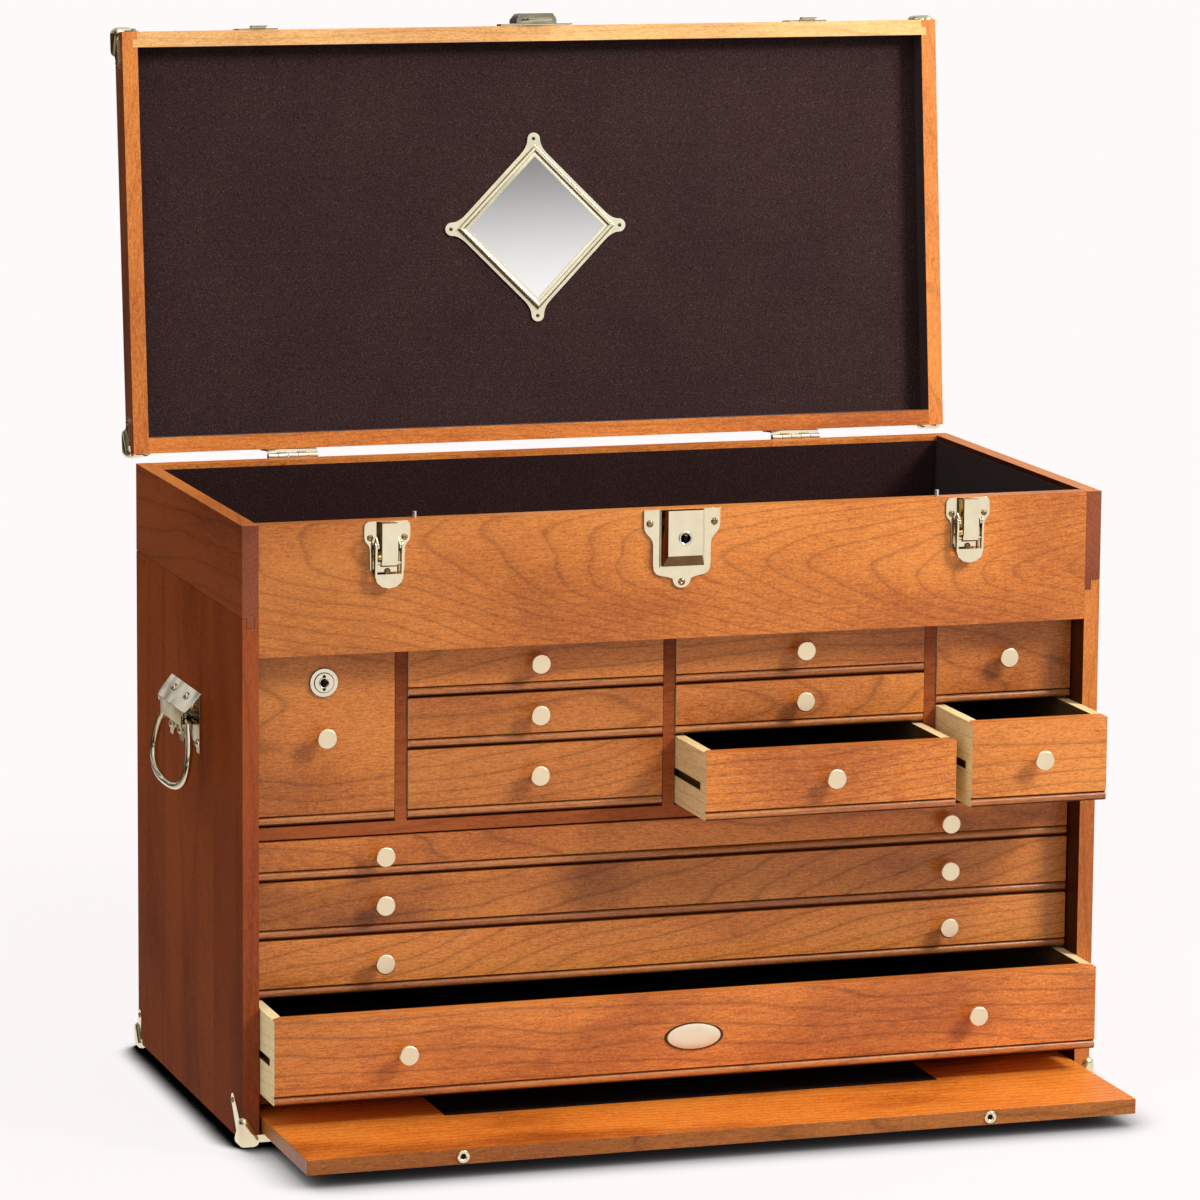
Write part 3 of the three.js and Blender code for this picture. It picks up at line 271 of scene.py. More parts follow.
def paper_floor():
    bpy.ops.mesh.primitive_plane_add(size=FLOOR_SIZE, location=(0, 0, 0))
    floor = bpy.context.active_object
    floor.name = "paper_floor"
    material, _, make, maths, spread = new_material("paper")
    by_camera, in_metal = ray_kinds(make, maths)
    place = own_place(make)
    axes = make("SeparateXYZ", Vector=place).outputs

    def paper(colour):
        return make("BsdfDiffuse", Color=colour).outputs[0]

    def glow(colour, strength):
        return make("Emission", Color=colour, Strength=strength).outputs[0]

    contact = contact_shadow(make, maths, spread, axes["Y"])
    shaded = make("VectorMath", "SCALE", i0=dimmed(PAPER[:3], SHADED), Scale=contact)
    near = make("AddShader", i0=glow(PAPER, maths("MULTIPLY", contact, GLOW)),
                i1=paper(shaded.outputs[0]))
    far = make("VectorMath", "LENGTH", i0=place).outputs["Value"]
    seen = blended(make, spread(far, SWEEP, (0.0, 1.0)), near.outputs[0],
                   make("BsdfTransparent").outputs[0])
    mirrored = glow(paper_in_metal(make, maths, spread, place, axes), 1.0)
    unseen = blended(make, in_metal, paper(PAPER_SHADE), mirrored)
    make("OutputMaterial", Surface=blended(make, by_camera, unseen, seen))
    floor.data.materials.append(material)


paper_floor()
print("paper floor made")

# %% [markdown]
# The key lamp is a panel high up to the right. It lights the fronts, draws the small soft
# shadow down to the left of every knob, and lets the left end fall into a deep red-brown.
# A weak broad panel straight above lifts the rims.

# %% Lamps
LAMP_AIM = Vector((0, -0.1, 0.3))


def soft_panel(name, place, size, watts):
    light = bpy.data.lights.new(name, "AREA")
    light.shape = "RECTANGLE"
    light.size, light.size_y = size
    light.energy = watts
    lamp = bpy.data.objects.new(name, light)
    bpy.context.collection.objects.link(lamp)
    lamp.location = place
    lamp.rotation_euler = (LAMP_AIM - Vector(place)).to_track_quat("-Z", "Y").to_euler()


soft_panel("key_panel", place=(1.7, -1.5, 1.9), size=(0.65, 0.65), watts=60)
soft_panel("top_panel", place=(0.3, -0.6, 2.4), size=(1.8, 1.2), watts=8)

# %% [markdown]
# ## Wood
#
# A board sawn flat from a log cuts its growth rings at a glancing angle, and that is what
# draws the nested flame shapes down the middle of a board. The most honest way to get
# them is to do what the saw does: picture the rings as tubes round a slightly tilted log
# axis behind the board, bend them with slow noise, and colour each point by its distance
# from that axis. Fine pores and a slow mottle lie over them. Each board gets its own
# place in the log, so no two drawers share a figure.
#
# Cherry differs from board to board and darkens with age, so the chest isn't one colour:
# the lid's front rail is pale, the fronts are orange, the ends are a deep red-brown and the
# dividers between the drawers a dull brown, which is partly their wood and partly painted
# shade of the recess they stand in. Each wood is three tones, as on a screen.

# %% Wood tones
WHITE = (1.0, 1.0, 1.0)


def from_srgb(red, green, blue):
    """Turns a colour as it looks on a screen, 0 to 255, into the light it stands for."""
    def channel(value):
        value /= 255
        return value / 12.92 if value <= 0.04045 else ((value + 0.055) / 1.055) ** 2.4
    return channel(red), channel(green), channel(blue)


def wood_tones(light, middle, dark):
    return dict(light=from_srgb(*light), middle=from_srgb(*middle), dark=from_srgb(*dark))


CHERRY = wood_tones((236, 148, 70), (216, 126, 54), (182, 95, 39))
PALE_CHERRY = wood_tones((254, 206, 140), (246, 188, 118), (226, 160, 94))
RED_CHERRY = wood_tones((152, 74, 30), (138, 63, 22), (114, 48, 15))
PANEL_CHERRY = wood_tones((248, 152, 60), (234, 130, 44), (192, 93, 28))
# Partly the dividers' own wood, partly painted shade of the recess.
DIVIDER_CHERRY_AND_SHADE = wood_tones((172, 92, 48), (156, 80, 40), (130, 62, 30))
EDGE_CHERRY = wood_tones((172, 82, 28), (158, 71, 20), (132, 54, 12))
END_GRAIN = wood_tones((158, 84, 50), (140, 70, 40), (116, 54, 30))
MAPLE = wood_tones((255, 238, 192), (253, 228, 172), (240, 208, 146))
# Maple darkened as painted shade, for the walls inside the drawers.
MAPLE_TONES_IN_PAINTED_SHADE = wood_tones((112, 82, 50), (98, 70, 42), (80, 55, 32))
print("cherry reflects", [round(share, 3) for share in CHERRY["middle"]])


# %% Helpers that mix colours
def float_mix(tree, first, second, factor):
    mix = tree.nodes.new("ShaderNodeMix")
    mix.data_type = "FLOAT"
    mix.inputs["Factor"].default_value = factor
    tree.links.new(first, mix.inputs["A"])
    tree.links.new(second, mix.inputs["B"])
    return mix.outputs["Result"]


def colour_mix(tree, first, second, factor, how="MULTIPLY"):
    mix = tree.nodes.new("ShaderNodeMix")
    mix.data_type = "RGBA"
    mix.blend_type = how
    # A colour mix has its own A and B behind those for numbers and vectors.
    wires = ((factor, mix.inputs[0]), (first, mix.inputs[6]), (second, mix.inputs[7]))
    for value, socket in wires:
        if isinstance(value, bpy.types.NodeSocket):
            tree.links.new(value, socket)
        else:
            socket.default_value = value
    return mix.outputs[2]


def toned(tree, value, stops, steps=False):
    """Turns a number into a colour through stops of (position, colour)."""
    node = tree.nodes.new("ShaderNodeValToRGB")
    ramp = node.color_ramp
    ramp.interpolation = "CONSTANT" if steps else "LINEAR"
    stops = list(stops)
    while len(ramp.elements) < len(stops):
        ramp.elements.new(1.0)
    for element, (position, colour) in zip(ramp.elements, stops):
        element.position = position
        element.color = (*colour, 1)
    tree.links.new(value, node.inputs["Fac"])
    return node.outputs["Color"]


print("helpers: float_mix, colour_mix, toned")

# %% [markdown]
# The colour comes from three scales at once: the rings, a slow mottle a hand wide, and
# fibres finer than a millimetre with short dark pores. At arm's length the fibres do most
# of the work, since they keep the board from looking printed. The rings stay thin and
# faint, as they are in cherry. Boards glued up from staves step their figure at each joint.

# %% Where a board lies in its log
# Turns that lay the log's axis, X, along each of the three directions of grain.
GRAIN_TURNS = {
    "x": (0.0, 0.0, 0.0),
    "y": (0.0, 0.0, math.pi / 2),
    "z": (0.0, math.pi / 2, 0.0),
}
# Each noise: how it is squeezed along the grain, how fine it is, its detail and roughness.
BEND = (0.3, 7.0, 3.0, 0.45)
PORES = (0.14, 1500.0, 2.0, 0.5)
FIBRES = (0.14, 640.0, 4.0, 0.66)
CURL = (0.5, 860.0, 4.0, 0.7)
MOTTLE = (0.45, 9.0, 3.0, 0.5)
# How far each next stave lies from the last one in the log: along it, and across it.
STAVE_ALONG, STAVE_ACROSS = 0.31, 0.045


def noise_in_wood(make, along, pattern):
    squeeze, fineness, detail, roughness = pattern
    drawn_out = make("Mapping", Vector=along, Scale=(squeeze, 1, 1)).outputs[0]
    return make("TexNoise", Vector=drawn_out, Scale=fineness, Detail=detail,
                Roughness=roughness).outputs


def place_in_log(make, maths, grain, log, staves):
    """The place of a point in the log, and the number of the stave that it is on."""
    place = own_place(make)
    along = make("Mapping", Vector=place, Rotation=GRAIN_TURNS[grain], Location=log).outputs[0]
    if not staves:
        return along, None
    step = make("SeparateXYZ", Vector=place).outputs["Y"]
    stave = maths("ADD", maths("GREATER_THAN", step, staves[0]),
                  maths("GREATER_THAN", step, staves[1]))
    jump = make("CombineXYZ", X=maths("MULTIPLY", stave, STAVE_ALONG),
                Z=maths("MULTIPLY", stave, STAVE_ACROSS)).outputs[0]
    return make("VectorMath", "ADD", i0=along, i1=jump).outputs[0], stave


print("finest noise in wood:", round(1000 / PORES[1], 2), "mm")


# %% Rings
RING_DEPTH, BETWEEN_DEPTH = 0.34, 0.06
RING_WARMTH = (1.0, 0.95, 0.9)
HALF = (0.5, 0.5, 0.5)


def ring_lines(tree, along, tilt, rings, contrast, waver):
    """Thin warm lines, one for each ring that the saw met. Slow noise bends the rings
    across the board, and the tilt of the log draws them out into flames."""
    make, maths, _ = node_maker(tree)
    tilted = make("Mapping", Vector=along, Rotation=(0, tilt * 0.4, tilt)).outputs[0]
    bend = noise_in_wood(make, along, BEND)["Color"]
    centred = make("VectorMath", "SUBTRACT", i0=bend, i1=HALF).outputs[0]
    weighed = make("VectorMath", "MULTIPLY", i0=centred, i1=(0.0, waver, waver)).outputs[0]
    bent = make("VectorMath", "ADD", i0=tilted, i1=weighed).outputs[0]
    across = make("VectorMath", "MULTIPLY", i0=bent, i1=(0, 1, 1)).outputs[0]
    distance = make("VectorMath", "LENGTH", i0=across).outputs["Value"]
    ring = maths("FRACT", maths("MULTIPLY", distance, rings))
    warm = dimmed(RING_WARMTH, 1.0 - RING_DEPTH * contrast)
    faint = dimmed(WHITE, 1.0 - BETWEEN_DEPTH * contrast)
    return toned(tree, ring, [(0.0, faint), (0.1, WHITE), (0.55, WHITE), (0.8, faint),
                              (0.91, warm), (0.98, faint)])


print("a ring line takes", RING_DEPTH, "of the light at full contrast")

# %% Figure of one board
FIBRE_STOPS = (0.41, 0.5, 0.59)
CURL_SHARE, FIBRE_SHARE, RELIEF_SHARE = 0.55, 0.66, 0.4
PATCH_LOSS, PATCH_STOPS = (0.42, 0.48, 0.5), (0.36, 0.5)
PORE_DEPTH, PORE_WARMTH = 0.45, (1.0, 0.93, 0.86)
PORE_SHARE, PORE_STOPS = 0.55, (0.38, 0.46)
STAVE_TONES = [(0.0, (0.84, 0.8, 0.8)), (0.3, WHITE), (0.7, (0.93, 0.91, 0.9))]


def board_figure(tree, tones, grain, log, tilt, rings, contrast, shade, mottled, staves, waver):
    """The colour of one board, and the relief of its pores and fibres."""
    make, maths, _ = node_maker(tree)
    along, stave = place_in_log(make, maths, grain, log, staves)
    pores, fibres, curl, mottle = (
        noise_in_wood(make, along, pattern)["Fac"] for pattern in (PORES, FIBRES, CURL, MOTTLE)
    )
    grainy = float_mix(tree, mottle, float_mix(tree, fibres, curl, CURL_SHARE), FIBRE_SHARE)
    shades = [dimmed(tones[key], shade) for key in ("dark", "middle", "light")]
    patch = tuple(1.0 - loss * mottled for loss in PATCH_LOSS)
    pore = dimmed(PORE_WARMTH, 1.0 - PORE_DEPTH * contrast)
    layers = [(toned(tree, mottle, zip(PATCH_STOPS, (patch, WHITE))), 1.0),
              (ring_lines(tree, along, tilt, rings, contrast, waver), 1.0),
              (toned(tree, pores, zip(PORE_STOPS, (pore, WHITE))), PORE_SHARE)]
    if staves:
        stave_tone = toned(tree, maths("MULTIPLY", stave, 0.5), STAVE_TONES, steps=True)
        layers.append((stave_tone, 1.0))
    colour = toned(tree, grainy, zip(FIBRE_STOPS, shades))
    for layer, share in layers:
        colour = colour_mix(tree, colour, layer, share)
    return colour, float_mix(tree, pores, curl, RELIEF_SHARE)


print("tones of a board lie at", FIBRE_STOPS)

# %% Wood as a material
WOOD_BUMP, WOOD_RELIEF = 0.15, 0.0002
LACQUER_HAZE = 0.28


def shaded(material, make, **sockets):
    """Ends a material in the one shader that can be wood, felt and metal."""
    shader = make("BsdfPrincipled", **sockets)
    make("OutputMaterial", Surface=shader.outputs[0])
    return material


def wood(name, tones, grain="x", log=(0.0, 0.0, 0.0), tilt=0.05, rings=62.0, contrast=1.0,
         shade=1.0, mottled=0.25, staves=(), waver=0.065, gloss=0.4, shine=0.3, lacquer=0.0,
         other=None, where=None):
    """Wood whose grain runs along one axis. log is where the board lies in its log. A second
    board, other, may show in the same face where the mask says so."""
    material, tree, make, maths, _ = new_material(name)
    board = dict(tones=tones, grain=grain, log=log, tilt=tilt, rings=rings, contrast=contrast,
                 shade=shade, mottled=mottled, staves=staves, waver=waver)
    colour, relief = board_figure(tree, **board)
    if other:
        other_colour, _ = board_figure(tree, **{**board, **other})
        colour = colour_mix(tree, colour, other_colour, where(make, maths), how="MIX")
    bump = make("Bump", Strength=WOOD_BUMP, Distance=WOOD_RELIEF, Height=relief)
    return shaded(material, make, Base_Color=colour, Roughness=gloss, Specular_IOR_Level=shine,
                  Coat_Weight=lacquer, Coat_Roughness=LACQUER_HAZE, Normal=bump.outputs[0])


MAPLE_Y = wood("maple_along_y", MAPLE, "y", log=(0.3, 0.2, 0.1), rings=120, gloss=0.5,
               shine=0.02, contrast=0.3, mottled=0.1)
# Maple darkened as painted shade, for the inner walls and runner grooves of the drawers.
INNER_MAPLE_PAINTED_SHADE = wood("maple_inside_painted_shade", MAPLE_TONES_IN_PAINTED_SHADE, "y", log=(0.5, 0.1, 0.2), rings=120, gloss=0.6,
                   shine=0.05)
BEAD = wood("bead_cherry", CHERRY, "x", log=(0.2, 0.1, 0.0), rings=150, shine=0.15, shade=0.72,
            lacquer=1.0)
# Cherry darkened as painted shade, for the quirk and the underside of the bead.
PAINTED_SHADE_GROOVE = wood("groove_cherry", CHERRY, "x", log=(0.2, 0.1, 0.0), rings=150, shine=0.05,
              shade=0.26)
print("woods that drawers share:", [m.name for m in (MAPLE_Y, INNER_MAPLE_PAINTED_SHADE, BEAD, PAINTED_SHADE_GROOVE)])

# %% [markdown]
# ## Felt, plate and glass
#
# The lining is a brown-black felt: short fibres that catch light at a grazing angle, with
# pale specks. A rough base with sheen does the first, and a fine bright noise the second.
# The hardware is bright plate over brass and steel. Plate that is perfectly even looks
# like plastic, so a faint cloudiness varies its roughness.

# %% Felt
FLUFF_FINENESS, FLUFF_STOPS, DEEP_SHARE = 950.0, (0.34, 0.52, 0.7), 0.55
FLUFF_BUMP, FLUFF_HEIGHT = 0.6, 0.0007
WEAR_FINENESS, WEAR_TONES = 16.0, [(0.35, (0.88, 0.86, 0.87)), (0.6, WHITE)]


def felt(name, base, speck, bloom=0.1):
    """Felt of two screen colours. bloom is how much its loose fibres catch grazing light."""
    material, tree, make, _, _ = new_material(name)
    place = own_place(make)
    fluff = make("TexNoise", Vector=place, Scale=FLUFF_FINENESS, Detail=4.0,
                 Roughness=0.75).outputs["Fac"]
    wear = make("TexNoise", Vector=place, Scale=WEAR_FINENESS, Detail=3.0).outputs["Fac"]
    base, speck = from_srgb(*base), from_srgb(*speck)
    colour = toned(tree, fluff, zip(FLUFF_STOPS, (dimmed(base, DEEP_SHARE), base, speck)))
    colour = colour_mix(tree, colour, toned(tree, wear, WEAR_TONES), 1.0)
    bump = make("Bump", Strength=FLUFF_BUMP, Distance=FLUFF_HEIGHT, Height=fluff)
    return shaded(material, make, Base_Color=colour, Roughness=0.95, Specular_IOR_Level=0.1,
                  Sheen_Weight=bloom, Sheen_Roughness=0.5, Normal=bump.outputs[0])


FELT = felt("dark_felt", (56, 36, 34), (98, 74, 72))
TILL_FELT = felt("till_felt", (42, 21, 19), (76, 48, 46))
DRAWER_FELT = felt("drawer_felt", (30, 20, 19), (60, 46, 45))
PATCH_FELT = felt("patch_felt", (20, 12, 10), (40, 28, 26), bloom=0.0)
print("felts made")

# %% Metal and mirror
CLOUD_FINENESS, CLOUD_SPAN = 90.0, (0.3, 0.7)
SCUFF_FINENESS, SCUFF_STRETCH = 900.0, (1, 1, 0.1)
SCUFF_BUMP, SCUFF_DEPTH = 0.02, 0.0001
WAVE_FINENESS = 30.0


def plate_metal(name, colour, polish=0.07, haze=0.05, dull=0.9, wave=0.0):
    """Plate of one screen colour. polish is its roughness at best, haze what the clouds add
    to it, and wave how far, in metres, pressed sheet is out of flat."""
    material, tree, make, _, spread = new_material(name)
    place = own_place(make)
    drawn_out = make("Mapping", Vector=place, Scale=SCUFF_STRETCH).outputs[0]
    cloud = make("TexNoise", Vector=place, Scale=CLOUD_FINENESS, Detail=3.0).outputs["Fac"]
    scuffs = make("TexNoise", Vector=drawn_out, Scale=SCUFF_FINENESS, Detail=2.0).outputs["Fac"]
    colour = from_srgb(*colour)
    tone = toned(tree, cloud, zip(CLOUD_SPAN, (dimmed(colour, dull), colour)))
    bump = make("Bump", Strength=SCUFF_BUMP, Distance=SCUFF_DEPTH, Height=scuffs)
    if wave:
        slow = make("TexNoise", Vector=place, Scale=WAVE_FINENESS, Detail=1.0).outputs["Fac"]
        bump = make("Bump", Strength=1.0, Distance=wave, Height=slow, Normal=bump.outputs[0])
    return shaded(material, make, Base_Color=tone, Metallic=1.0, Normal=bump.outputs[0],
                  Roughness=spread(cloud, CLOUD_SPAN, (polish, polish + haze)))


PRESSED = 0.0012
BRASS = plate_metal("pale_brass_plate", (244, 230, 198))
# Dull brown for flanks of plate that face left and down: painted dark reflection and shade.
PAINTED_SHADE_FLANK_BRASS = plate_metal("flank_brass_painted_shade", (122, 92, 62), polish=0.14, dull=0.7)
GUARD_BRASS = plate_metal("guard_brass", (240, 224, 188), polish=0.12, haze=0.06, wave=PRESSED)
FRAME_BRASS = plate_metal("frame_brass", (252, 243, 212), polish=0.26, dull=0.97)
KNOB_BRASS = plate_metal("knob_brass", (246, 224, 188), polish=0.3, haze=0.1, dull=0.94)
NICKEL = plate_metal("bright_nickel_plate", (236, 224, 202), polish=0.1)
HANDLE_NICKEL = plate_metal("handle_nickel", (236, 222, 194), polish=0.1, wave=PRESSED)
SCREW = plate_metal("screw_brass", (164, 134, 98), polish=0.12, dull=0.7)
# Near-black: painted shadow of holes and slots, and painted shade on the rims of the small locks.
PAINTED_SHADOW_METAL = plate_metal("keyway_shadow", (34, 28, 24), polish=0.45)
MIRROR = plate_metal("silvered_glass", (240, 237, 236), polish=0.012, haze=0.004, dull=0.99)
STEEL_PIN = plate_metal("pin_steel", (226, 226, 226), polish=0.2)
print(len(bpy.data.materials), "materials so far")

# %% [markdown]
# ## Dressing the solids
#
# A glued drawer is one solid but three materials: a cherry front, maple sides, and felt
# inside. Cutting it up would break the frame, so each face of the mesh gets its material
# by where it lies and which way it looks. The same rule finds the metal corner guards on
# the sides: they are whatever stands outside the board.

# %% Face by face
MM = 0.001
FORWARD = (0, -1, 0)
# Two planes that are nearer than a hair count as one.
HAIR = 0.05 * MM
# A face looks along an axis when its normal has more than this share of it.
ALONG = 0.9


def dress(node, finishes, choose):
    """Gives each face of a node one of the named finishes; choose(centre, normal) names it."""
    mesh = nodes[node].data
    mesh.materials.clear()
    for material in finishes.values():
        mesh.materials.append(material)
    order = list(finishes)
    for polygon in mesh.polygons:
        polygon.material_index = order.index(choose(polygon.center, polygon.normal))


def dress_whole(node, material):
    dress(node, {"whole": material}, lambda centre, normal: "whole")


print("faces to dress:", sum(len(solid.data.polygons) for solid in nodes.values()))

# %% [markdown]
# Each end of the case is an upper board with its grain along Y over three upright staves,
# glued on below it. Seen from the front, the edge is long grain below and end grain above,
# and the upper board's tongue reaches a little way down into the staves. Only the figure
# tells the boards apart, so a change of wood draws the seams, and the solid stays whole.

# %% Ends of the case
SIDE_OUT, FRONT_Y, BACK_Y, TOP_Z = 350 * MM, -170 * MM, 170 * MM, 483 * MM
SIDE_IN, FOOT_Z, SEAM_Z = 337.3 * MM, 4 * MM, 412 * MM
TONGUE_Z, EDGE_DEPTH = 404.5 * MM, 1 * MM
TONGUES = {-1: (340.35 * MM, 346.7 * MM), 1: (337.3 * MM, 342.4 * MM)}
STAVE_JOINTS = (-79 * MM, 73 * MM)


def dress_side(node, side, log_upper, log_lower):
    left = side < 0
    tongue_in, tongue_out = TONGUES[side]
    finishes = dict(
        upper=wood(node + "_upper_cherry", RED_CHERRY, "y", log=log_upper, rings=60,
                   shine=0.01, contrast=0.7),
        staves=wood(node + "_stave_cherry", RED_CHERRY, "z", log=log_lower, rings=50,
                    shine=0.003, contrast=0.5, staves=STAVE_JOINTS),
        edge=wood(node + "_edge_cherry", EDGE_CHERRY if left else CHERRY, "z", log=log_lower,
                  rings=50, contrast=0.5, shade=1.0 if left else 0.93),
        end_grain=wood(node + "_end_grain", END_GRAIN, "y", log=log_upper, rings=260,
                       contrast=0.6),
        top=wood(node + "_top_cherry", CHERRY, "y", log=log_upper, rings=60, shade=0.95,
                 contrast=0.6),
        guard=GUARD_BRASS,
        runner=MAPLE_Y,
        # The inner face of the end is darkened as painted shade.
        inner=wood(node + "_inner_painted_shade_cherry", RED_CHERRY, "z", log=log_lower, rings=50,
                   shade=0.32, shine=0.1),
    )

    def choose(centre, normal):
        reach = abs(centre.x)
        if (reach > SIDE_OUT + HAIR or centre.y < FRONT_Y - HAIR
                or centre.y > BACK_Y + HAIR or centre.z < FOOT_Z - HAIR):
            return "guard"
        if reach < SIDE_IN - HAIR:
            return "runner"
        if reach < SIDE_IN + HAIR:
            return "inner"
        if abs(normal.y) > ALONG and min(centre.y - FRONT_Y, BACK_Y - centre.y) < EDGE_DEPTH:
            in_tongue = centre.z > TONGUE_Z and tongue_in < reach < tongue_out
            return "end_grain" if centre.z > SEAM_Z or in_tongue else "edge"
        if normal.z > ALONG and centre.z > TOP_Z - HAIR:
            return "top"
        return "upper" if centre.z > SEAM_Z else "staves"

    dress(node, finishes, choose)


dress_side("left_side", -1, (0.13, 0.06, 0.02), (0.31, 0.09, 0.05))
dress_side("right_side", 1, (0.47, 0.05, -0.03), (0.71, 0.02, 0.07))
print("ends of the case dressed")

# %% [markdown]
# The boards across the chest are simpler: one cut of cherry each, from a place of its own
# in the log. The front board and the deep drawer are painted darker toward the left: a
# painted shade for the light that falls off away from the lamp. A mask that reads the place
# on the board does that, so it looks the same from every side. The stored panel is the most
# mottled board of all, and its edges are darkened as painted shade.

# %% Boards across the case
LEFT_PAINTED_SHADE_REACH = 0.3125


def painted_shade_toward_left(make, maths):
    """A mask for painted shade that grows from 0 at the middle of the chest to 1 near its left
    end.
    """
    across = make("SeparateXYZ", Vector=own_place(make)).outputs["X"]
    return maths("MINIMUM", maths("MAXIMUM", maths("MULTIPLY", across, -1 / LEFT_PAINTED_SHADE_REACH), 0.0), 1.0)


CASE_BOARDS = {
    "back_board": wood("back_board_cherry", CHERRY, log=(0.2, -0.1, 0.3), shine=0.1, mottled=0.1),
    # Painted darker toward the left: painted shade.
    "front_board": wood("front_board_cherry", CHERRY, log=(0.05, 0.25, -0.442), tilt=-0.12,
                        rings=255, contrast=0.85, shade=1.02, waver=0.045, shine=0.15,
                        lacquer=0.4, other=dict(shade=0.82), where=painted_shade_toward_left),
    # The dividers carry painted shade of their recess.
    "drawer_frame": wood("drawer_frame_cherry", DIVIDER_CHERRY_AND_SHADE, log=(0.6, 0.1, -0.2),
                         contrast=0.5, shine=0.1),
    # Cherry darkened as painted shade of the slot.
    "slot_frame": wood("slot_frame_cherry", CHERRY, log=(0.9, 0.1, 0.1), shade=0.6, shine=0.1),
}
for board, cherry in CASE_BOARDS.items():
    dress_whole(board, cherry)

PANEL_LOG, PANEL_EDGE = (0.35, 0.12, -0.03), 0.5
PANEL_FINISHES = dict(
    face=wood("front_panel_cherry", PANEL_CHERRY, log=PANEL_LOG, rings=120, shade=1.03,
              mottled=1.0, shine=0.15),
    # The edges are cherry darkened as painted shade.
    edge=wood("front_panel_edges_painted_shade", CHERRY, log=PANEL_LOG, rings=140, shade=0.62),
)
dress("front_panel", PANEL_FINISHES,
      lambda centre, normal: "edge" if abs(normal.z) < PANEL_EDGE else "face")
print("case boards dressed")

# %% [markdown]
# ## Drawers
#
# A drawer front is a cherry board with a rounded bead worked along its lower edge and a
# narrow groove, the quirk, above the bead. The quirk and the underside of the bead are
# painted shade. The sides are maple, each with a groove for the runner, and the inside is
# lined; its side walls and the runner grooves are maple darkened as painted shade. Thirteen
# drawers could be dressed one by one. Here one function does them all from the drawer's own
# box, because they are built alike, and a short table holds how bright and how mottled the
# boards of some fronts came out.

# %% Cherry of the fronts
DRAWERS = [name for name in nodes if name.endswith("_drawer")
           or (name.startswith("wide_drawer") and "knob" not in name)]
# How bright each front came out of its board, and how strongly it is mottled.
PLAIN_FRONT = (1.0, 0.25)
FRONT_TONES = {
    "wide_drawer_middle": (0.88, 1.0),
    "wide_drawer_bottom": (1.02, 0.6),
    "wide_drawer_top": (1.0, 0.3),
    "deep_drawer": (1.14, 0.5),
    "right_column_bottom_drawer": (1.1, 0.3),
    "till_drawer": (0.95, 0.5),
    "left_column_middle_drawer": (0.84, 0.6),
    "left_column_bottom_drawer": (0.82, 0.4),
}
# How bright the deep drawer stays at its left end: painted shade.
DEEP_PAINTED_SHADE_SHARE = 0.84


def front_cherry(node, number, middle_z):
    """The wood of one front. Its number in the row gives it a place of its own in the log."""
    shade, mottled = FRONT_TONES.get(node, PLAIN_FRONT)
    log = (0.37 * number, 0.11 + 0.05 * (number % 3), 0.03 * ((number * 7) % 5 - 2) - middle_z)
    # The deep drawer is painted darker toward the left: painted shade.
    darker = dict(shade=DEEP_PAINTED_SHADE_SHARE * shade) if node == "deep_drawer" else None
    return wood(node + "_cherry", CHERRY, "x", rings=150, log=log, tilt=0.03 + 0.02 * (number % 4),
                shade=shade, mottled=mottled, shine=0.15, lacquer=0.45, other=darker,
                where=painted_shade_toward_left)


print(len(FRONT_TONES), "of", len(DRAWERS), "fronts have a tone of their own")

# %% Dress the drawers
DRAWER_LENGTH, DRAWER_FRONT, DRAWER_SIDE = 297 * MM, 14 * MM, 8.5 * MM
BEAD_HEIGHT, QUIRK_WIDTH = 6.4 * MM, 1.2 * MM
# Normals that part a lock's face from its rim, a front from its ends, a bead from below.
LOCK_FACE, FRONT_END, BEAD_UNDER = 0.7, 0.95, -0.3


def dress_drawer(node, number):
    low, high = (Vector(corner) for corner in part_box(node))
    back = high.y
    front = back - DRAWER_LENGTH
    middle_x = (high.x + low.x) / 2
    outer_x = (high.x - low.x) / 2
    inner_x = outer_x - DRAWER_SIDE
    finishes = dict(front=front_cherry(node, number, (low.z + high.z) / 2), side=MAPLE_Y,
                    felt=DRAWER_FELT, lock_face=NICKEL, lock_rim=PAINTED_SHADOW_METAL, inside=INNER_MAPLE_PAINTED_SHADE,
                    bead=BEAD, groove=PAINTED_SHADE_GROOVE)

    def choose(centre, normal):
        reach = abs(centre.x - middle_x)
        between = low.z + HAIR < centre.z < high.z - HAIR
        inside_y = front + DRAWER_FRONT - HAIR < centre.y < back - DRAWER_SIDE + HAIR
        # Side walls inside take maple darkened as painted shade; the rest inside is felt.
        if reach < inner_x + HAIR and inside_y and between:
            return "inside" if abs(normal.x) > ALONG else "felt"
        # The groove that the runner fills, in maple darkened as painted shade.
        if inner_x + HAIR < reach < outer_x - HAIR and between:
            return "inside"
        if centre.y < front - HAIR:
            # The lock's rim is painted shade.
            return "lock_face" if abs(normal.y) > LOCK_FACE else "lock_rim"
        if centre.y < front + DRAWER_FRONT - HAIR and abs(normal.x) < FRONT_END:
            # The quirk and the underside of the bead are painted shade.
            up = centre.z - low.z
            in_quirk = BEAD_HEIGHT - HAIR < up < BEAD_HEIGHT + QUIRK_WIDTH + HAIR
            if in_quirk and centre.y > front + HAIR:
                return "groove"
            if up > BEAD_HEIGHT:
                return "front"
            return "bead" if normal.z > BEAD_UNDER else "groove"
        return "side"

    dress(node, finishes, choose)


for number, drawer in enumerate(DRAWERS):
    dress_drawer(drawer, number)
print(len(DRAWERS), "drawers dressed")

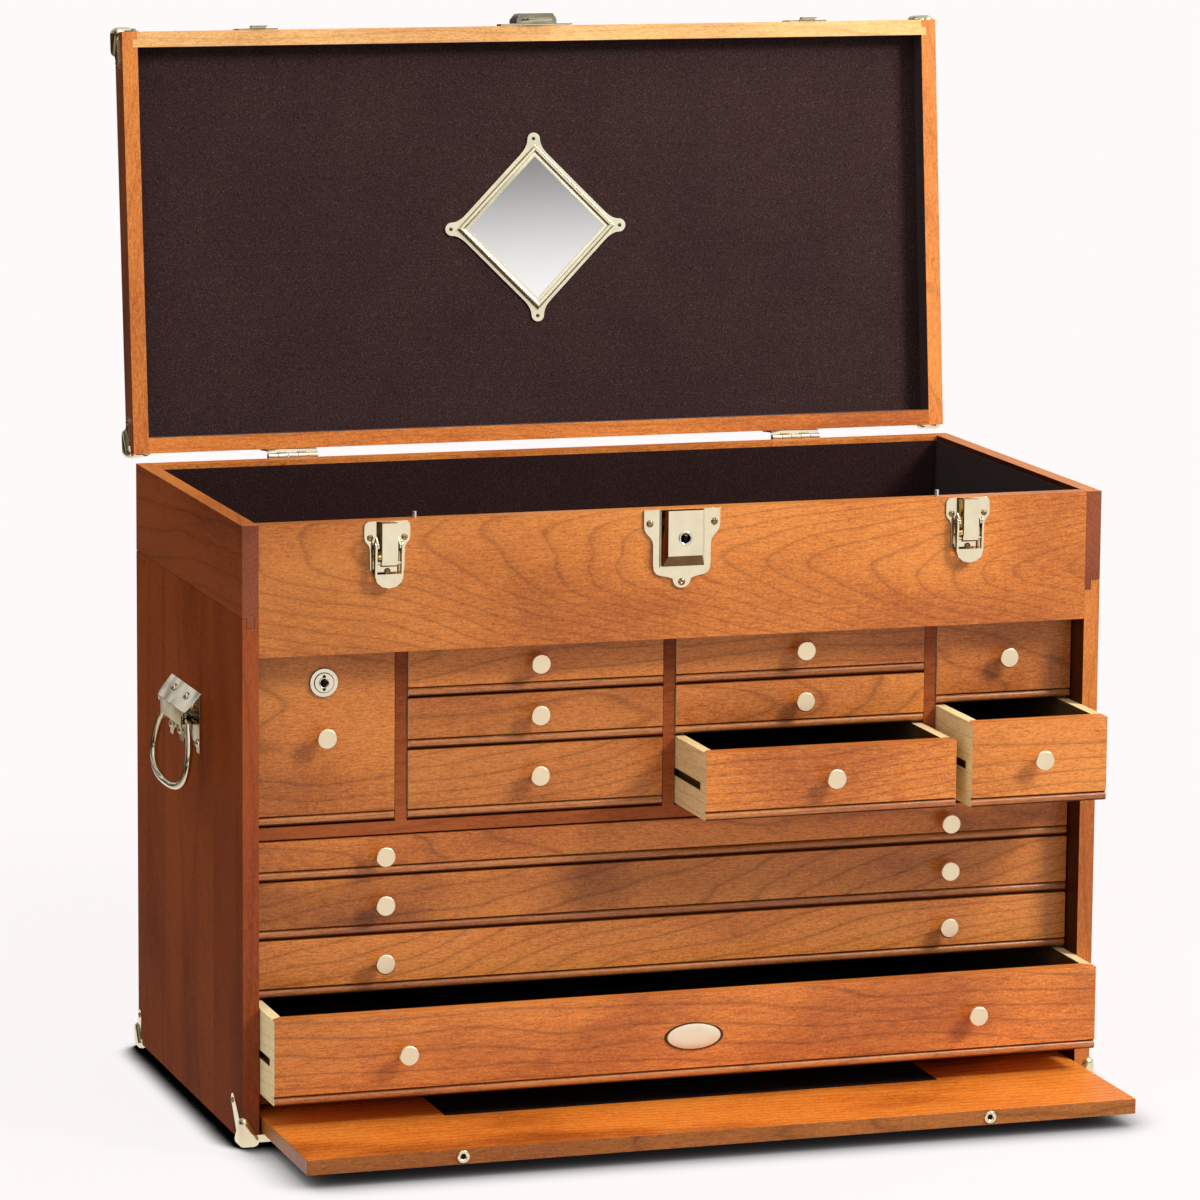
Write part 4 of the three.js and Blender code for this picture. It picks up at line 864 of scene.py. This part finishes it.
# %% [markdown]
# ## Lid
#
# The lid is a frame of four rails round a felt-lined panel, and it stands open at a lean. The
# end rails run its full depth; the front rail is paler, and its inner half laps a little
# way into them. To tell rails apart on a leaning solid, a point is first turned back to
# where it would be on the shut lid, and then it is a matter of plain distances.

# %% Points on the lid
HINGE_Y, HINGE_Z = 176.3 * MM, 483.2 * MM
LEAN = math.radians(95.83)
LID_TURN = Matrix.Rotation(-LEAN, 3, "X")
LID_LOW, LID_HIGH, LID_RIM = 0.2 * MM, 25.6 * MM, 12.7 * MM
LID_BACK, LID_FRONT = -6.3 * MM, -346.3 * MM
RAIL_LAP = 4 * MM


def on_lid(x, y, z):
    """A point given on the shut lid, measured from the hinge pin, where it is at rest."""
    return LID_TURN @ Vector((x, y, z)) + Vector((0, HINGE_Y, HINGE_Z))


def off_lid(point):
    return LID_TURN.inverted() @ (Vector(point) - Vector((0, HINGE_Y, HINGE_Z)))


def lid_normal(x, y, z):
    return LID_TURN @ Vector((x, y, z))


print("lid's front edge stands at", [round(v, 3) for v in on_lid(0, LID_FRONT, 0)])

# %% Dress the lid
def dress_lid():
    front_rail_z = on_lid(0, LID_FRONT + LID_RIM, 0).z
    front_mid_z = on_lid(0, LID_FRONT + LID_RIM / 2, 0).z
    upper_half_z = on_lid(0, (LID_FRONT + LID_BACK) / 2, 0).z

    def end_rail(make, maths):
        place = make("SeparateXYZ", Vector=own_place(make)).outputs
        inner_half = maths("MULTIPLY", maths("GREATER_THAN", place["Z"], front_rail_z),
                           maths("LESS_THAN", place["Z"], front_mid_z))
        seam = maths("ADD", maths("MULTIPLY", inner_half, RAIL_LAP), SIDE_IN)
        return maths("GREATER_THAN", maths("ABSOLUTE", place["X"]), seam)

    ends = dict(tones=CHERRY, grain="z", log=(0.8, 0.25, 0.2), rings=90, contrast=0.5)
    finishes = dict(
        front_rail=wood("lid_front_rail", PALE_CHERRY, "x", log=(0.2, 0.3, 0.1), rings=120,
                        contrast=0.5, shade=1.06, other=ends, where=end_rail),
        hinge_rail=wood("lid_hinge_rail", CHERRY, "x", log=(0.6, 0.33, 0.2), rings=110,
                        contrast=0.6, shade=1.06, other=ends, where=end_rail),
        outside_end=wood("lid_outside_end", RED_CHERRY, "z", log=(0.3, 0.2, 0.3), shade=0.8,
                         shine=0.1),
        top=wood("lid_top_cherry", CHERRY, "x", log=(0.5, -0.05, -0.7), rings=90, mottled=0.1,
                 gloss=0.6, shine=0.06),
        guard=GUARD_BRASS,
        felt=FELT,
    )

    def choose(centre, normal):
        at = off_lid(centre)
        if (abs(at.x) > SIDE_OUT + HAIR or at.y < LID_FRONT - HAIR or at.y > LID_BACK + HAIR
                or at.z > LID_HIGH + HAIR or at.z < LID_LOW - HAIR):
            return "guard"
        if at.z > LID_HIGH - HAIR:
            return "top"
        within_rails = (abs(at.x) < SIDE_IN + HAIR
                        and LID_FRONT + LID_RIM - HAIR < at.y < LID_BACK - LID_RIM + HAIR)
        if within_rails and at.z > LID_LOW + HAIR:
            return "felt"
        if abs(normal.x) > ALONG:
            return "outside_end"
        return "front_rail" if centre.z > upper_half_z else "hinge_rail"

    dress("lid_case", finishes, choose)


dress_lid()
print("lid dressed")

# %% [markdown]
# ## Hardware
#
# Plate keeps its bright lacquer on its fronts, while flanks to the left and below are
# painted brown: a painted dark reflection and shade, since the room is dark on that side. A
# darker room there could do it, but it would dull the knobs too, so the painted shade is a
# second material for the faces that look that way.

# %% Dress the hardware
PLATE_PREFIXES = ("latch_", "lock_", "hinge_leaf", "lid_leaf")
LEFT_FLANK, UNDER_FLANK, LOCK_UNDER_FLANK = 0.4, 0.55, 0.15


def dress_plate(node):
    below = LOCK_UNDER_FLANK if node == "lock_case" else UNDER_FLANK

    def choose(centre, normal):
        # Flanks that face left or down take the painted shade.
        return "flank" if normal.x < -LEFT_FLANK or normal.z < -below else "face"

    dress(node, dict(face=BRASS, flank=PAINTED_SHADE_FLANK_BRASS), choose)


for name in nodes:
    if "_knob" in name:
        dress_whole(name, KNOB_BRASS)
    elif name == "mirror_frame":
        dress_whole(name, FRAME_BRASS)
    elif name == "mirror_glass":
        dress_whole(name, MIRROR)
    elif name.startswith(PLATE_PREFIXES):
        dress_plate(name)
    elif name.startswith("handle_"):
        dress_whole(name, HANDLE_NICKEL)
    elif name.startswith("panel_pin"):
        dress_whole(name, STEEL_PIN)
    elif name.startswith("till_lock"):
        # The till lock's rim is painted shade.
        dress(name, dict(face=NICKEL, rim=PAINTED_SHADOW_METAL),
              lambda centre, normal: "face" if abs(normal.y) >= LOCK_FACE else "rim")
print("hardware dressed")

# %% [markdown]
# ## Screws, rivets and eyelets
#
# Hardware is only believable with what holds it on. A screw head is a low dome with a slot
# sawn through it. It could be a sphere cut by a box, but a dome drawn as rings of points is
# lighter, and the slot is made by pressing down the points that lie in it. A rivet is the
# same dome without a slot.

# %% Turned shapes and where they go
def in_mm(*points):
    return [tuple(value * MM for value in point) for point in points]


def frame_on(place, normal, turn=0.0):
    """A matrix that puts Z = outwards at a place on a surface."""
    facing = Vector(normal).normalized().to_track_quat("Z", "Y").to_matrix().to_4x4()
    return Matrix.Translation(Vector(place)) @ facing @ Matrix.Rotation(turn, 4, "Z")


def add_lathe(mesh, matrix, profile, segments=24, slot=0.0, slot_depth=0.0, material=0):
    """Turns a profile of (radius, height) about Z; points inside the slot are pressed down."""
    rings = []
    for radius, height in profile:
        ring = []
        for step in range(segments):
            angle = 2 * math.pi * step / segments
            x, y = radius * math.cos(angle), radius * math.sin(angle)
            sunk = slot_depth if slot and abs(y) < slot / 2 and height > 0 else 0.0
            ring.append(mesh.verts.new(matrix @ Vector((x, y, max(height - sunk, 0.0)))))
        rings.append(ring)
    for low, high in zip(rings, rings[1:]):
        for step in range(segments):
            after = (step + 1) % segments
            face = mesh.faces.new((low[step], low[after], high[after], high[step]))
            face.smooth = True
            face.material_index = material
    for end in (rings[-1], list(reversed(rings[0]))):
        mesh.faces.new(end).material_index = material


print("helpers: in_mm, frame_on, add_lathe")

# %% Screws and rivets
SCREW_RADIUS, SCREW_HEIGHT = 2.9 * MM, 1.5 * MM
SLOT_WIDTH, SLOT_DEPTH = 1.1 * MM, 1.0 * MM
RIVET_RADIUS, RIVET_HEIGHT = 3.3 * MM, 2.4 * MM
SUNK = -0.3 * MM


def dome_profile(radius, height, rings=7):
    angles = [math.pi / 2 * i / rings for i in range(rings)]
    dome = [(radius * math.cos(angle), height * math.sin(angle)) for angle in angles]
    return [(radius, SUNK)] + dome


def add_screw(mesh, place, normal, radius=SCREW_RADIUS, turn=0.6):
    add_lathe(mesh, frame_on(place, normal, turn), dome_profile(radius, SCREW_HEIGHT, 9),
              segments=36, slot=SLOT_WIDTH, slot_depth=SLOT_DEPTH)


def add_rivet(mesh, place, normal):
    add_lathe(mesh, frame_on(place, normal), dome_profile(RIVET_RADIUS, RIVET_HEIGHT))


def finish_piece(mesh, name, body, materials):
    data = bpy.data.meshes.new(name)
    bmesh.ops.recalc_face_normals(mesh, faces=mesh.faces)
    mesh.to_mesh(data)
    mesh.free()
    piece = bpy.data.objects.new(name, data)
    bpy.context.collection.objects.link(piece)
    for material in materials:
        data.materials.append(material)
    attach(piece, body)
    return piece


print("a rivet has", len(dome_profile(RIVET_RADIUS, RIVET_HEIGHT)), "rings of points")

# %% Screws on the case
# The places of the screws, in millimetres: x and z on the front and back, y and z on an end.
LATCH_X, LATCH_SCREWS = 236.5 * MM, ((-13.6, 470), (13.6, 470), (0, 444))
LOCK_SCREWS = ((-26.3, 472), (26.3, 472), (0, 425.7))
END_GUARD_SCREWS = ((-143, 31.5), (160, 28.6))
BACK_GUARD_SCREW = (340, 28.6)
LATCH_SKIN, LOCK_SKIN, GUARD_SKIN = 1.2 * MM, 1.5 * MM, 1.4 * MM
LATCH_SCREW_SIZE, GUARD_SCREW_SIZE = 2.6 * MM, 2.3 * MM

screws = bmesh.new()
for side in (-1, 1):
    for x, z in LATCH_SCREWS:
        add_screw(screws, (side * LATCH_X + x * MM, FRONT_Y - LATCH_SKIN, z * MM), FORWARD,
                  radius=LATCH_SCREW_SIZE, turn=0.5 + x / 20)
    for y, z in END_GUARD_SCREWS:
        add_screw(screws, (side * (SIDE_OUT + GUARD_SKIN), y * MM, z * MM), (side, 0, 0),
                  radius=GUARD_SCREW_SIZE)
    x, z = BACK_GUARD_SCREW
    add_screw(screws, (side * x * MM, BACK_Y + GUARD_SKIN, z * MM), (0, 1, 0),
              radius=GUARD_SCREW_SIZE)
for turn, (x, z) in enumerate(LOCK_SCREWS):
    add_screw(screws, (x * MM, FRONT_Y - LOCK_SKIN, z * MM), FORWARD, turn=0.4 + turn)
finish_piece(screws, "case_screws", "case", [SCREW])
print("case screws placed")

# %% Screws and mirror pins on the lid
LID_MID_Z = 14 * MM
END_SCREWS_Y = (-321.3 * MM, -31.3 * MM)
RIM_SCREW_X, TOP_SCREW_X, TOP_SCREW_INSET = 337 * MM, 336 * MM, 18.6 * MM

lid_screws = bmesh.new()
for side in (-1, 1):
    spots = [((side * (SIDE_OUT + GUARD_SKIN), y, LID_MID_Z), (side, 0, 0))
             for y in END_SCREWS_Y]
    for y, facing in ((LID_FRONT, -1), (LID_BACK, 1)):
        spots.append(((side * RIM_SCREW_X, y + facing * GUARD_SKIN, LID_MID_Z), (0, facing, 0)))
        spots.append(((side * TOP_SCREW_X, y - facing * TOP_SCREW_INSET, LID_HIGH + GUARD_SKIN),
                      (0, 0, 1)))
    for spot, facing in spots:
        add_screw(lid_screws, on_lid(*spot), lid_normal(*facing), radius=GUARD_SCREW_SIZE)
finish_piece(lid_screws, "lid_screws", "lid", [SCREW])

MIRROR_Y, EAR_Z, EAR_REACH = -180.9 * MM, 17.75 * MM, 73 * MM
PIN_HEAD = in_mm((1.5, -0.2), (1.5, 0.25), (0.9, 0.6), (0.4, 0.7))
PIN_BRONZE = plate_metal("pin_bronze", (96, 70, 48), polish=0.3)

pins = bmesh.new()
for x, y in ((1, 0), (-1, 0), (0, 1), (0, -1)):
    ear = on_lid(x * EAR_REACH, MIRROR_Y + y * EAR_REACH, EAR_Z)
    add_lathe(pins, frame_on(ear, lid_normal(0, 0, -1)), PIN_HEAD, segments=16)
finish_piece(pins, "mirror_pins", "lid", [PIN_BRONZE])
print("lid screws and mirror pins placed")

# %% Rivets of the handles
# Two rivets hold the sloping roof of each bracket, and four hold its foot to the case.
HANDLE_Y, HANDLE_Z = 5 * MM, 309 * MM
ROOF_SLOPE = Vector((15.5, 0, 12.8)).normalized()
ROOF_OUT, ROOF_UP, ROOF_RIVETS_Y = 5 * MM, 16.4 * MM, (-20 * MM, 20 * MM)
FOOT_OUT, FOOT_DOWN, FOOT_RIVETS_Y = 1.5 * MM, 17 * MM, (-42 * MM, -14 * MM, 14 * MM, 42 * MM)

rivets = bmesh.new()
for side in (-1, 1):
    for y in ROOF_RIVETS_Y:
        add_rivet(rivets, (side * (SIDE_OUT + ROOF_OUT), HANDLE_Y + y, HANDLE_Z + ROOF_UP),
                  (side * ROOF_SLOPE.x, 0, ROOF_SLOPE.z))
    for y in FOOT_RIVETS_Y:
        add_rivet(rivets, (side * (SIDE_OUT + FOOT_OUT), HANDLE_Y + y, HANDLE_Z - FOOT_DOWN),
                  (side, 0, 0))
finish_piece(rivets, "handle_rivets", "case", [HANDLE_NICKEL])
print("rivets placed")

# %% [markdown]
# ## Eyelets, the blank plate and the keyways
#
# Two brass eyelets in the panel's front edge take the lock pins. On the deep drawer sits an
# oval plate, which stays blank here: a dished cream face inside a rolled rim. Both are
# turned about an axis as the screws are, and the oval is a turned disc squeezed in height.
# A keyway could be cut into its plug, but a painted shadow of a hole and slot, laid a hair
# proud of it, looks the same at this size and leaves the solid whole. The dark disc in each
# eyelet is the same painted shadow of its hole.

# %% Eyelets of the panel
PANEL_FRONT_Y, PANEL_MID_Z, PIN_X = -301.4 * MM, 16.65 * MM, 213 * MM
EYELET_HOLE_SHADOW = in_mm((2.15, -0.15), (2.15, 0.1), (1.0, 0.12))


def ring_profile(outer, inner, height):
    """A rolled ring: up the outside, over the crest and down into the hole."""
    crest = (outer + inner) / 2
    return [(outer, -0.2 * MM), (outer, height * 0.4),
            (outer * 0.9 + crest * 0.1, height * 0.85), (crest, height),
            (inner * 1.1, height * 0.7), (inner, 0.0), (inner * 0.98, -0.1 * MM)]


eyelets = bmesh.new()
for side in (-1, 1):
    eye = frame_on((side * PIN_X, PANEL_FRONT_Y, PANEL_MID_Z), FORWARD)
    add_lathe(eyelets, eye, ring_profile(4.9 * MM, 2.2 * MM, 1.1 * MM), segments=28)
    # A dark disc in the eyelet: the painted shadow of its hole.
    add_lathe(eyelets, eye, EYELET_HOLE_SHADOW, segments=20, material=1)
finish_piece(eyelets, "panel_eyelets", "front_panel", [GUARD_BRASS, PAINTED_SHADOW_METAL])
print("eyelets placed")

# %% Blank oval plate
PLATE_Z, PLATE_HALF_WIDTH, PLATE_HALF_HEIGHT = 74.6 * MM, 24 * MM, 11 * MM
DEEP_FRONT_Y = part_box("deep_drawer")[1][1] - DRAWER_LENGTH
# Radii as shares of the half width.
RIM_PROFILE = ((1.0, -0.2 * MM), (1.0, 0.5 * MM), (0.985, 0.9 * MM), (0.955, 1.0 * MM),
               (0.93, 0.7 * MM))
DISH_PROFILE = ((0.93, 0.55 * MM), (0.9, 0.72 * MM), (0.5, 0.95 * MM), (0.1, 1.0 * MM))
ENAMEL = plate_metal("plate_cream_brass", (246, 232, 204), polish=0.42, haze=0.1, dull=0.95)
PLATE_RIM = plate_metal("plate_dark_rim", (92, 66, 44), polish=0.3)

plate = bmesh.new()
oval = Matrix.Diagonal((1.0, PLATE_HALF_HEIGHT / PLATE_HALF_WIDTH, 1.0, 1.0))
plate_frame = frame_on((0, DEEP_FRONT_Y, PLATE_Z), FORWARD) @ oval
for profile, material in ((RIM_PROFILE, 1), (DISH_PROFILE, 0)):
    turned = [(share * PLATE_HALF_WIDTH, height) for share, height in profile]
    add_lathe(plate, plate_frame, turned, segments=64, material=material)
finish_piece(plate, "blank_oval_plate", "deep_drawer", [ENAMEL, PLATE_RIM])
print("blank plate placed")


# %% Keyways of the two locks
ARC_STEPS = 6


def add_slot(mesh, face, half_width, low, high, rise=0.4 * MM):
    """A painted shadow of a slot with round ends, a hair proud of the face: a row of points round
    its edge.
    """
    rim = []
    for centre, start in ((high - half_width, 0.0), (low + half_width, math.pi)):
        for step in range(ARC_STEPS + 1):
            angle = start + math.pi * step / ARC_STEPS
            rim.append((half_width * math.cos(angle), centre + half_width * math.sin(angle)))
    edge = [mesh.verts.new(face @ Vector((x, y, 0.0))) for x, y in rim]
    top = [mesh.verts.new(face @ Vector((x * 0.9, y, rise))) for x, y in rim]
    mesh.faces.new(top)
    mesh.faces.new(list(reversed(edge)))
    for step in range(len(rim)):
        after = (step + 1) % len(rim)
        mesh.faces.new((edge[step], edge[after], top[after], top[step]))


def keyway_piece(name, plug, ring_radius, hole_radius, slot_place):
    """A raised ring with a painted shadow of a hole and slot, a hair proud of the plug's face."""
    low, high = (Vector(corner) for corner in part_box(plug))
    face = frame_on(((low.x + high.x) / 2, low.y, (low.z + high.z) / 2), FORWARD)
    ring = ring_profile(ring_radius, ring_radius * 0.72, 0.8 * MM)
    hole = [(hole_radius, -0.1 * MM), (hole_radius, 0.34 * MM), (hole_radius * 0.4, 0.44 * MM)]
    cut = bmesh.new()
    add_lathe(cut, face, ring, segments=36, material=1)
    add_lathe(cut, face, hole)
    add_slot(cut, face, *slot_place)
    finish_piece(cut, name, plug, [PAINTED_SHADOW_METAL, NICKEL])


keyway_piece("lock_keyway", "lock_plug", 5.6 * MM, 1.5 * MM,
             (0.85 * MM, -4.4 * MM, 1.2 * MM))
keyway_piece("till_lock_keyway", "till_lock_plug", 4.2 * MM, 1.9 * MM,
             (1.3 * MM, -6.2 * MM, 6.2 * MM))
print("keyways placed")

# %% [markdown]
# ## Felts
#
# The till is lined with felt on thin card. One tray of card with a soft upper edge does
# that best, because it shows the small step down from the wood that a mere colour can't
# show. The stored panel carries a patch of the same felt on its upper face.

# %% Felt tray of the till and felt on the panel
CARD = 1.1 * MM
TILL_X, TILL_Y = 337.2 * MM, (-157.2 * MM, 157.2 * MM)
TILL_FLOOR, LINING_TOP = 387.95 * MM, 479 * MM
PATCH_X, PATCH_Y = (-198 * MM, 207 * MM), (-202 * MM, 60 * MM)
PATCH_SUNK, PATCH_RISE = 0.1 * MM, 0.9 * MM
SOFT_WIDTH, SOFT_ANGLE = 0.4 * MM, math.radians(40)


def felt_board(mesh, xs, ys, zs):
    """A thin board between two places along each axis."""
    for vertex in bmesh.ops.create_cube(mesh, size=1.0)["verts"]:
        vertex.co = Vector(tuple((low + high) / 2 + share * (high - low)
                                 for share, (low, high) in zip(vertex.co, (xs, ys, zs))))


def soft_edges(piece):
    bevel = piece.modifiers.new("soft_edge", "BEVEL")
    bevel.width = SOFT_WIDTH
    bevel.segments = 3
    bevel.limit_method = "ANGLE"
    bevel.angle_limit = SOFT_ANGLE


lining = bmesh.new()
wall_z = (TILL_FLOOR + CARD, LINING_TOP)
felt_board(lining, (-TILL_X, TILL_X), TILL_Y, (TILL_FLOOR, TILL_FLOOR + CARD))
for side in (-1, 1):
    felt_board(lining, sorted((side * TILL_X, side * (TILL_X - CARD))), TILL_Y, wall_z)
for wall, inwards in ((TILL_Y[0], 1), (TILL_Y[1], -1)):
    felt_board(lining, (-TILL_X + CARD, TILL_X - CARD), sorted((wall, wall + inwards * CARD)),
               wall_z)
soft_edges(finish_piece(lining, "till_lining", "case", [TILL_FELT]))

PANEL_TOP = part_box("front_panel")[1][2]
panel_felt = bmesh.new()
felt_board(panel_felt, PATCH_X, PATCH_Y, (PANEL_TOP - PATCH_SUNK, PANEL_TOP + PATCH_RISE))
soft_edges(finish_piece(panel_felt, "panel_felt", "front_panel", [PATCH_FELT]))
print("felts placed")

# %% [markdown]
# ## Soft edges
#
# No edge on a real chest is sharp: wood is sanded and plate is pressed, and the fine round
# catches a thread of light. The solids could carry it, but it would swell them with faces
# that say nothing about their size. A bevel modifier adds it here, for the eye only. The
# solids come with loose triangles, so they are welded first. Weighting the normals by face
# size keeps flat faces flat and lets the small round faces carry the turn.

# %% Round the edges
WELD_REACH = 0.005 * MM
SHARP = math.radians(35)
ROUNDED_WOOD = ("front_board", "back_board", "front_panel", "left_side", "right_side",
                "lid_case")
ROUNDED_PLATE = ("latch_", "lock_", "handle_", "hinge_", "lid_leaf", "mirror_frame")


def edge_round(name):
    """How wide the round is. A bail, which is round already, is only smoothed. The frames
    inside the case and the mirror's glass are left alone, and for them this is None."""
    if "bail" in name:
        return 0.0
    if "_knob" in name or "plug" in name or "panel_pin" in name:
        return 0.25 * MM
    if name.startswith(ROUNDED_PLATE):
        return 0.3 * MM
    if name in ROUNDED_WOOD:
        return 0.5 * MM
    return 0.35 * MM if name in DRAWERS else None


def soften(node, width):
    solid = nodes[node]
    solid.modifiers.new("weld", "WELD").merge_threshold = WELD_REACH
    if width:
        bevel = solid.modifiers.new("edge_round", "BEVEL")
        bevel.width = width
        bevel.segments = 2
        bevel.limit_method = "ANGLE"
        bevel.angle_limit = SHARP
    for polygon in solid.data.polygons:
        polygon.use_smooth = True
    solid.modifiers.new("face_weights", "WEIGHTED_NORMAL")


softened = [name for name in nodes if edge_round(name) is not None]
for name in softened:
    soften(name, edge_round(name))
print(len(softened), "solids softened")
